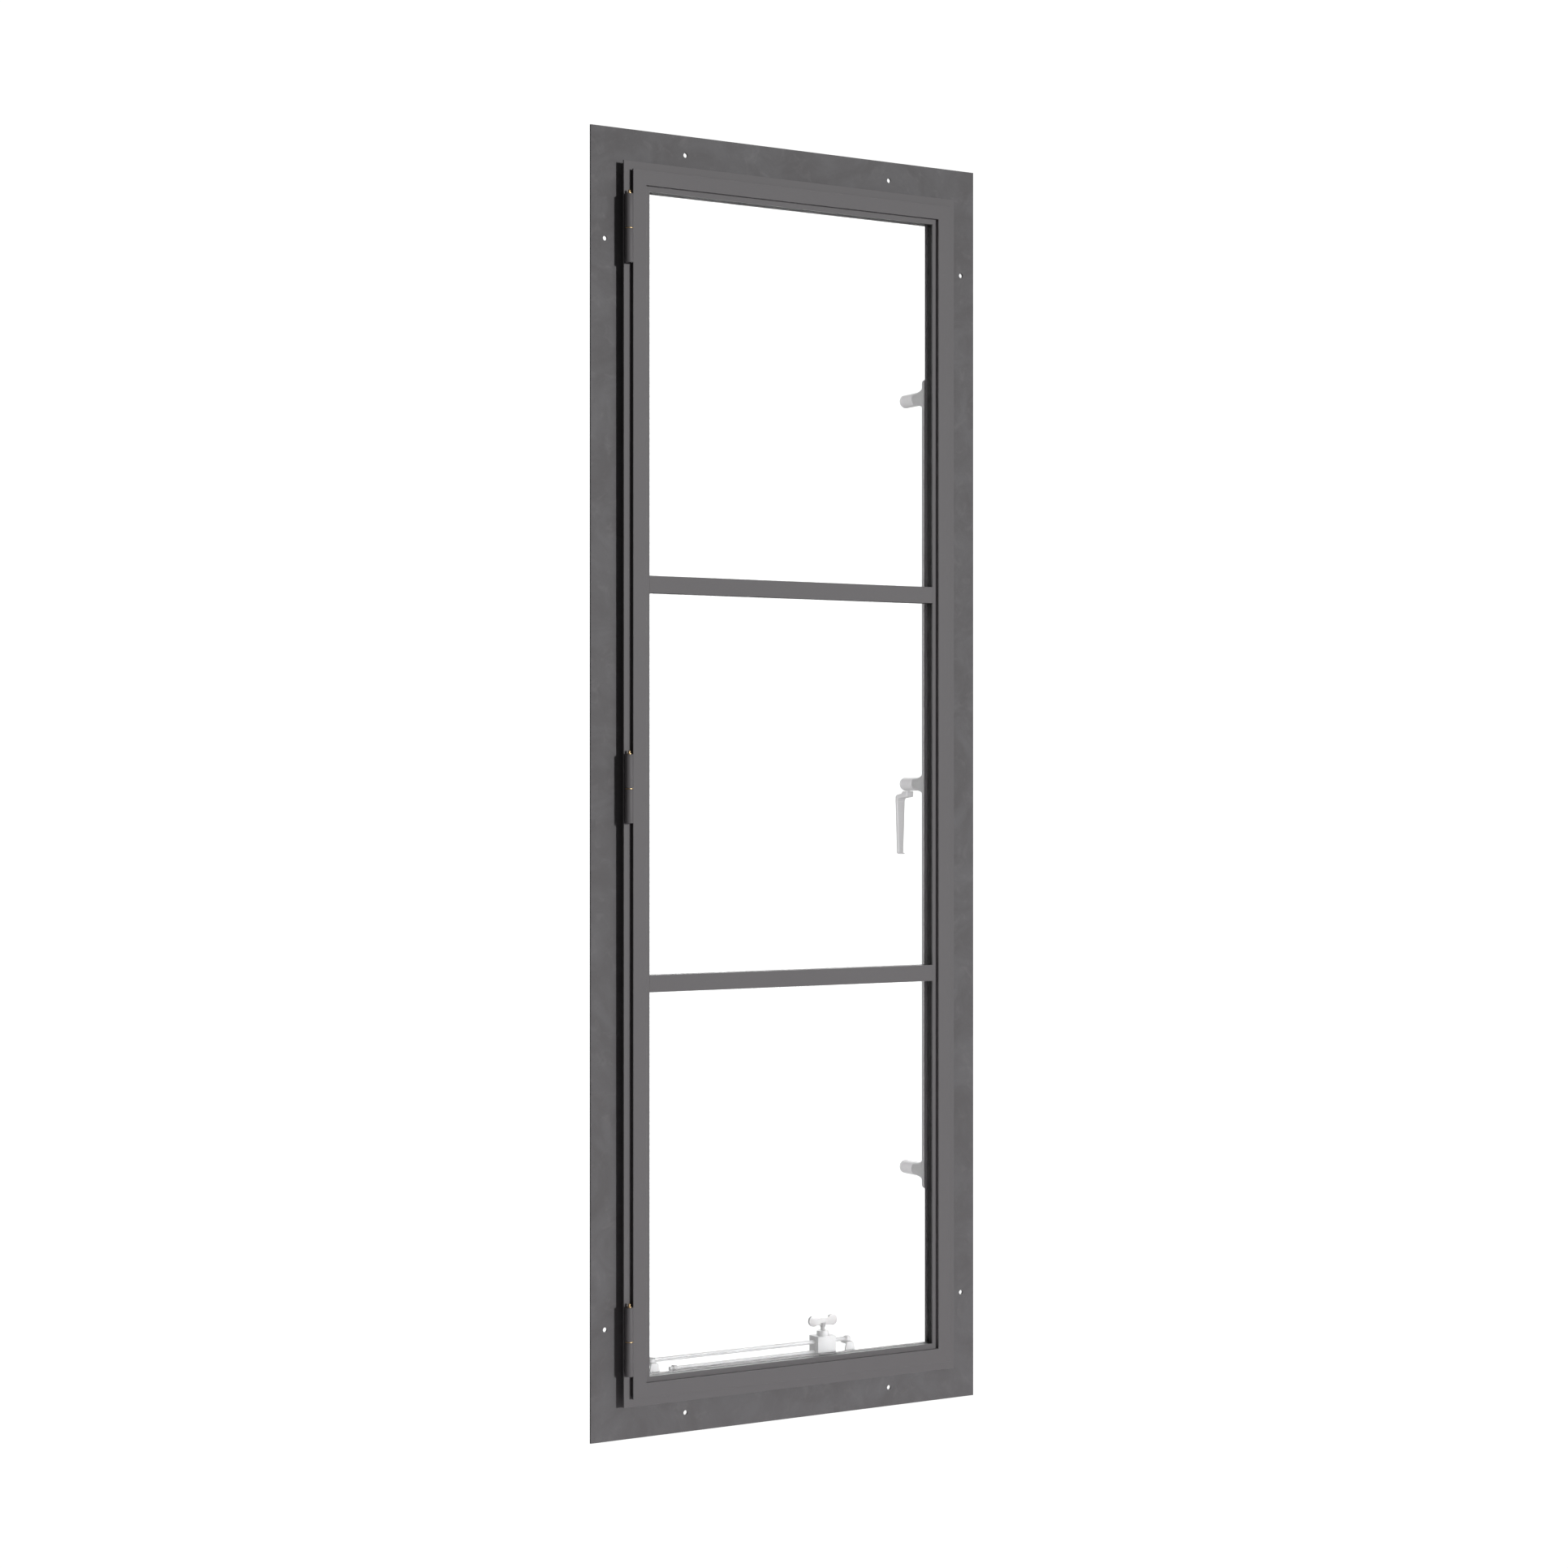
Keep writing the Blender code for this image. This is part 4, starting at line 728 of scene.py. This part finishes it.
# ================================================================ small screws
# Zinc-plated steel screws with a slot: countersunk in the beads and the lock strip, round-headed in
# the keepers and the brackets. Each one stopped at its own angle when it was driven home.
def plated_steel(name, level, roughness, warm=0.0, metallic=0.85, brushed=(1, 1, 1), size=0.0009):
    """Plated or bare steel: grain from the polishing belt, handling marks and duller patches."""
    steel = Finish(name, Metallic=metallic)
    patches = steel.noise(0.014, 4.0, 0.6, distortion=0.6)
    grain = steel.noise(size, 3.0, 0.6, brushed)
    marks = steel.stepped(steel.noise(0.004, 5.0, 0.7, distortion=1.2), 0.60, 0.72)
    colour = steel.tinted(patches, grey(level * 0.86, warm), grey(level * 1.10, warm * 0.5))
    colour = steel.tinted(marks * 0.25, colour, grey(level * 0.6, warm))
    wear = roughness + patches * 0.10 + grain * 0.10 - 0.08
    return steel.finished(colour, wear, grain + marks * 0.3, 0.00004, 0.35)


zinc = plated_steel("zinc_steel", 0.20, 0.60, metallic=0.12)
zinc_rim = plated_steel("zinc_steel_rim", 0.26, 0.54, metallic=0.2)
dark = plated_steel("dark_steel", 0.13, 0.42, 0.03)
dark_rim = plated_steel("dark_steel_rim", 0.26, 0.32, 0.02)

screw_tree, screw_in = new_tree("slotted_screw", {
    "Head": ("Float", 2.8 * MM), "Dome": ("Float", 1.1 * MM), "Slot": ("Float", 0.7 * MM),
    "Seed": ("Int", 11), "Material": ("Material", None)})
ball = grown(screw_tree, "GeometryNodeMeshUVSphere", None, {"Segments": 24, "Rings": 12, "Radius": 1.0})
size = grown(screw_tree, "ShaderNodeCombineXYZ", None, {
    0: screw_in["Head"], 1: screw_in["Head"], 2: screw_in["Dome"]})
head = grown(screw_tree, "GeometryNodeTransform", None, {
    "Geometry": ball.outputs[0], "Scale": size.outputs[0]})
slot_size = grown(screw_tree, "ShaderNodeCombineXYZ", None, {
    0: 10 * MM, 1: screw_in["Slot"], 2: screw_in["Dome"]})
slot_block = grown(screw_tree, "GeometryNodeMeshCube", None, {"Size": slot_size.outputs[0]})
slot_up = grown(screw_tree, "ShaderNodeCombineXYZ", None, {0: 0.0, 1: 0.0, 2: screw_in["Dome"]})
slot_there = grown(screw_tree, "GeometryNodeTransform", None, {
    "Geometry": slot_block.outputs[0], "Translation": slot_up.outputs[0]})
slotted = grown(screw_tree, "GeometryNodeMeshBoolean", {"operation": "DIFFERENCE"}, {
    "Mesh 1": head.outputs[0], "Mesh 2": slot_there.outputs[0]})
quarter = grown(screw_tree, "FunctionNodeRandomValue", {"data_type": "FLOAT"}, {
    2: 0.0, 3: math.pi, "Seed": screw_in["Seed"]})
turned_to = grown(screw_tree, "ShaderNodeCombineXYZ", None, {
    0: -math.pi / 2, 1: quarter.outputs[1], 2: 0.0})
heads = grown(screw_tree, "GeometryNodeInstanceOnPoints", None, {
    "Points": screw_in["Geometry"], "Instance": slotted.outputs[0], "Rotation": turned_to.outputs[0]})
close_tree(screw_tree, heads.outputs[0], screw_in["Material"])


def screws(name, body, places, head, dome, slot, seed=11):
    """Screw heads that face the room, one at each place."""
    item = run_tree(screw_tree, name, places, [], {
        "Head": head, "Dome": dome, "Slot": slot, "Seed": seed, "Material": zinc})
    item.data.set_sharp_from_angle(angle=math.radians(35))
    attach(item, body)


# ================================================================ glazing beads
# Painted steel flats that hold each pane against its gasket, mitred at the corners and held by small
# countersunk screws along the top, the bottom and the hinge side. The lock strip covers the fourth.
BEAD_GAP = 0.12 * MM
BEAD_SCREW = 1.5 * MM
BEAD_SCREW_STEP = 190 * MM
BEAD_END = 40 * MM
BEAD_AT_BAR = 9.2 * MM
BEAD_SCREW_PLACES = (-0.17, 0.0, 0.17)    # along the top and the bottom flat
bead_screws = []
for level in ("upper", "middle", "lower"):
    node = "glazing_bead_" + level
    low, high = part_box(node)
    outer = (low.x, low.z, high.x, high.z)
    reach = opening[0] - low.x
    top_reach = reach if high.z > opening[3] else BEAD_AT_BAR
    bottom_reach = reach if low.z < opening[1] else BEAD_AT_BAR
    inner = (low.x + reach, low.z + bottom_reach, high.x - reach, high.z - top_reach)
    shape = bmesh.new()
    flat = [(0, low.y), (1, low.y), (1, high.y), (0, high.y)]
    for side in CORNERS:
        add_mitred(shape, side, outer, inner, flat, BEAD_GAP)
    bead = made_from(shape, node + "_flats", [paint, paint_rim])
    stands_for(eased(bead, 0.35 * MM, 2, by_weight=True), node)
    count = max(2, round((inner[3] - inner[1]) / BEAD_SCREW_STEP))
    for index in range(count):
        z = inner[1] + BEAD_END + (inner[3] - inner[1] - 2 * BEAD_END) * index / (count - 1)
        bead_screws.append(((outer[0] + inner[0]) / 2, high.y, z))
    for x in BEAD_SCREW_PLACES:
        bead_screws.append((x, high.y, (outer[1] + inner[1]) / 2))
        bead_screws.append((x, high.y, (outer[3] + inner[3]) / 2))
screws("glazing_bead_screws", "sash", bead_screws, BEAD_SCREW, 0.35 * MM, 0.4 * MM, 5)


# ================================================================ hinges
# Three barrel hinges. Each has a steel barrel welded to the frame, another welded to the sash, a pin,
# a thrust washer of brass between them, and a brass grease nipple on top.
def add_turned(shape, outline, centre, axis, sides=40, closed=False):
    """Turn an outline of (radius, height) about an axis through centre."""
    turn = {"Z": Matrix.Identity(3), "Y": Matrix.Rotation(-math.pi / 2, 3, "X"),
            "X": Matrix.Rotation(math.pi / 2, 3, "Y")}[axis]
    rings = []
    for radius, height in outline:
        if radius < 1e-7:
            rings.append([shape.verts.new(Vector(centre) + turn @ Vector((0, 0, height)))])
            continue
        ring = []
        for index in range(sides):
            angle = 2 * math.pi * index / sides
            around = Vector((radius * math.cos(angle), radius * math.sin(angle), height))
            ring.append(shape.verts.new(Vector(centre) + turn @ around))
        rings.append(ring)
    pairs = list(zip(rings, rings[1:]))
    if closed:
        pairs.append((rings[-1], rings[0]))
    for first, second in pairs:
        for index in range(sides):
            after = (index + 1) % sides
            if len(first) == 1:
                shape.faces.new((first[0], second[after], second[index]))
            elif len(second) == 1:
                shape.faces.new((first[index], first[after], second[0]))
            else:
                shape.faces.new((first[index], first[after], second[after], second[index]))


def turned(name, outline, centre, axis, materials, closed=False, sides=40):
    shape = bmesh.new()
    add_turned(shape, outline, centre, axis, sides, closed)
    return made_from(shape, name, materials, 32)


def barrel_outline(radius, bore, length, chamfer):
    """A bored barrel with chamfered rims."""
    soft = chamfer * 0.3
    return [(bore, 0), (radius - chamfer, 0), (radius - soft, soft), (radius, chamfer),
            (radius, length - chamfer), (radius - soft, length - soft), (radius - chamfer, length),
            (bore, length)]


brass = Finish("brass", Metallic=0.9)
tarnish = brass.noise(0.003, 4.0, 0.65, distortion=0.8)
scratches = brass.noise(0.0004, 2.0, 0.5, (1, 1, 0.2))
brass = brass.finished(
    brass.tinted(tarnish, (0.50, 0.33, 0.16, 1), (0.78, 0.60, 0.36, 1)),
    0.30 + tarnish * 0.16 + scratches * 0.06, scratches, 0.00003, 0.4)

KNUCKLE_BORE = 2.7 * MM
WELD_RADIUS = 0.85 * MM
WELD_END = 3 * MM                     # the weld stops this far short of the barrel's ends
NIPPLE = [(0, -4.9), (1.9, -4.9), (1.9, 0.3), (3.3, 0.3), (3.4, 0.4), (3.4, 1.2), (3.1, 1.45),
          (1.9, 1.6), (1.55, 1.9), (1.5, 2.9), (1.7, 3.3), (2.05, 3.6), (2.05, 4.3), (1.8, 4.7),
          (1.3, 5.2), (1.0, 5.8), (0.45, 6.0), (0.4, 5.6), (0, 5.5)]    # radius and height in mm


def repainted(node, material):
    """Give a piece that is shown as the CAD has it a finish of this file's."""
    frame["nodes"][node].data.materials.clear()
    frame["nodes"][node].data.materials.append(material)


for place in ("top", "middle", "bottom"):
    for half in ("frame", "sash"):
        node = "hinge_%s_knuckle_%s" % (place, half)
        low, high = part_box(node)
        centre = ((low.x + high.x) / 2, (low.y + high.y) / 2, low.z)
        outline = barrel_outline((high.x - low.x) / 2, KNUCKLE_BORE, high.z - low.z, 0.5 * MM)
        barrel = turned(node + "_barrel", outline, centre, "Z", [paint], closed=True)
        stands_for(barrel, node)
    node = "hinge_%s_washer" % place
    low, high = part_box(node)
    centre = ((low.x + high.x) / 2, (low.y + high.y) / 2, low.z)
    outline = barrel_outline((high.x - low.x) / 2, KNUCKLE_BORE, high.z - low.z, 0.12 * MM)
    stands_for(turned(node + "_ring", outline, centre, "Z", [brass], closed=True), node)
    node = "hinge_%s_grease_nipple" % place
    low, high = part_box(node)
    centre = ((low.x + high.x) / 2, (low.y + high.y) / 2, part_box("hinge_%s_knuckle_sash" % place)[1].z)
    outline = [(radius * MM, height * MM) for radius, height in NIPPLE]
    stands_for(turned(node + "_fitting", outline, centre, "Z", [brass]), node)
    repainted("hinge_%s_pin" % place, dark)
    low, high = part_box("hinge_%s_knuckle_frame" % place)
    bead_x, bead_y = (low.x + high.x) / 2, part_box("frame_head")[0].y - 0.2 * MM
    weld("hinge_%s_weld_frame" % place, "frame",
         [((bead_x, bead_y, low.z + WELD_END), (bead_x, bead_y, high.z - WELD_END))], WELD_RADIUS)
    low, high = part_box("hinge_%s_knuckle_sash" % place)
    bead_x, bead_y = high.x + 0.3 * MM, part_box("sash_top_rail")[0].y + 0.4 * MM
    weld("hinge_%s_weld_sash" % place, "sash",
         [((bead_x, bead_y, low.z + WELD_END), (bead_x, bead_y, high.z - WELD_END))],
         WELD_RADIUS * 0.7)


# ================================================================ lock strip and bosses
# A pressed steel channel with round ends, screwed to the room side of the lock stile. Three flared
# bases are brazed to it, and a turned hub rotates on each; the middle one carries the lever.
def copied(node, name, materials):
    """A CAD node's own shape as one welded mesh, with its flat faces whole, ready for its edges."""
    shape = bmesh.new()
    shape.from_mesh(frame["nodes"][node].data)
    bmesh.ops.remove_doubles(shape, verts=shape.verts, dist=1e-6)
    bmesh.ops.dissolve_limit(shape, angle_limit=math.radians(0.5), verts=shape.verts, edges=shape.edges)
    mesh = bpy.data.meshes.new(name)
    for plate in shape.faces:
        plate.material_index = 0
    shape.to_mesh(mesh)
    shape.free()
    return link(mesh, name, materials)


strip = copied("lock_strip", "lock_strip_channel", [zinc, zinc_rim])
strip.data.shade_smooth()
strip.data.set_sharp_from_angle(angle=math.radians(33))
stands_for(strip, "lock_strip")
repainted("lock_connecting_rod", dark)

for level in ("upper", "middle", "lower"):
    node = "boss_hub_" + level
    low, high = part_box(node)
    centre = ((low.x + high.x) / 2, low.y, (low.z + high.z) / 2)
    radius, length = (high.x - low.x) / 2, high.y - low.y
    outline = [(0, 0), (radius - 0.5 * MM, 0), (radius, 0.5 * MM), (radius, length - 5.0 * MM),
               (radius - 0.6 * MM, length - 4.6 * MM), (radius - 0.6 * MM, length - 3.9 * MM),
               (radius, length - 3.5 * MM), (radius, length - 2.2 * MM),
               (radius - 0.5 * MM, length - 0.9 * MM), (radius - 1.5 * MM, length - 0.25 * MM),
               (radius - 3.0 * MM, length), (0, length)]
    hub = turned(node + "_turning", outline, centre, "Y", [zinc], sides=56)
    filled.objects.link(hub)
    stands_for(hub, node)
    node = "lock_spindle_" + level
    spindle = copied(node, node + "_forging", [dark, dark_rim])
    stands_for(eased(spindle, 0.3 * MM, 2), node)

lever = copied("lock_lever", "lock_lever_forging", [zinc, zinc_rim])
filled.objects.link(lever)
stands_for(eased(lever, 0.9 * MM, 4), "lock_lever")

STRIP_FACE = 12.6 * MM                # room face of the strip
STRIP_SCREW_SHIFT = 3.5 * MM          # its screws stand to the right of its middle
STRIP_SCREW_HEIGHTS = (566 * MM, 300 * MM, -300 * MM, -566 * MM)
low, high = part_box("lock_strip")
screw_x = (low.x + high.x) / 2 + STRIP_SCREW_SHIFT
screws("lock_strip_screws", "sash", [(screw_x, STRIP_FACE, MIDDLE.z + z) for z in STRIP_SCREW_HEIGHTS],
       2.9 * MM, 0.7 * MM, 0.6 * MM, 21)


# ================================================================ keepers
# Small steel plates screwed to the lock jamb's leg. The tongues turn behind them and draw the sash in.
KEEPER_SCREW_STEP = 14 * MM
ROUND_HEAD = (3.1 * MM, 1.3 * MM, 0.7 * MM)    # radius, height and slot
keeper_screws = []
for level in ("upper", "middle", "lower"):
    node = "lock_keeper_" + level
    stands_for(eased(copied(node, node + "_plate", [zinc, zinc_rim]), 0.4 * MM, 3), node)
    low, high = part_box(node)
    for step_z in (-KEEPER_SCREW_STEP, KEEPER_SCREW_STEP):
        keeper_screws.append(((low.x + high.x) / 2, high.y, (low.z + high.z) / 2 + step_z))
screws("lock_keeper_screws", "frame", keeper_screws, *ROUND_HEAD, 8)


# ================================================================ stay
# A telescopic rod stay that holds the sash open: two bent brackets, an upper rod fixed in the clamp
# block, a lower rod that slides through it and cranks up to the sash's pivot, and a thumbscrew.
BRACKETS = {                          # half the step between the two screws, and how far down they are
    "stay_bracket_frame": (8 * MM, 904.5 * MM), "stay_bracket_sash": (10 * MM, 877.5 * MM)}
for node, (step_x, drop) in BRACKETS.items():
    stands_for(eased(copied(node, node + "_bent", [zinc, zinc_rim]), 0.5 * MM, 3), node)
    low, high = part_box(node)
    middle_x = (low.x + high.x) / 2
    places = [(x, low.y + SHEET, MIDDLE.z - drop) for x in (middle_x - step_x, middle_x + step_x)]
    screws(node + "_screws", home[node], places, *ROUND_HEAD, 4)

for node, slot_name, finish_pair, easing in (
        ("stay_pin_frame", "dark_steel", [dark, dark_rim], None),
        ("stay_upper_rod", "zinc_steel", [zinc, zinc_rim], None),
        ("stay_clamp_block", "zinc_steel", [zinc, zinc_rim], 0.8 * MM),
        ("stay_thumbscrew", "dark_steel", [dark, dark_rim], 0.6 * MM),
        ("stay_lower_rod", "zinc_steel", [zinc, zinc_rim], None),
        ("stay_stop_collar", "dark_steel", [dark, dark_rim], 0.4 * MM)):
    item = copied(node, node + "_made", finish_pair)
    if easing is None:
        item.data.shade_smooth()
        item.data.set_sharp_from_angle(angle=math.radians(40))
    else:
        eased(item, easing, 3)
    stands_for(item, node)


# ================================================================ floor
# A pale floor below the window, which fades out into the white of the studio.
floor_shape = bmesh.new()
bmesh.ops.create_circle(floor_shape, cap_ends=True, segments=96, radius=FLOOR_RADIUS)
floor_paint = Finish("studio_floor", Specular_IOR_Level=0.2)
scuffs = floor_paint.noise(0.5, 4.0, 0.5)
floor_paint.finished(floor_paint.tinted(scuffs, grey(0.80, 0.01), grey(0.86, 0.01)), 0.7 + scuffs * 0.1)
away = floor_paint.add("ShaderNodeVectorMath", {"operation": "LENGTH"}, {0: floor_paint.place})
fade = floor_paint.stepped(Shade(floor_paint, away.outputs["Value"]), FLOOR_RADIUS * 0.35, FLOOR_RADIUS)
floor_paint.feed(floor_paint.shader.inputs["Alpha"], 1 - fade)
floor = made_from(floor_shape, "floor", [floor_paint.material])
floor.location = (MIDDLE.x, 0.0, cad_low.z - SILL_HEIGHT)
floor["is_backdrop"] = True
floor_lamp = lamp("floor_lamp", "AREA", (0, 0, 3.4), (0, 0, -1), 5.0, (3.0, 3.0))
lit = bpy.data.collections.new("lit_by_floor_lamp")
lit.objects.link(floor)
floor_lamp.light_linking.receiver_collection = lit

low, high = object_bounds()
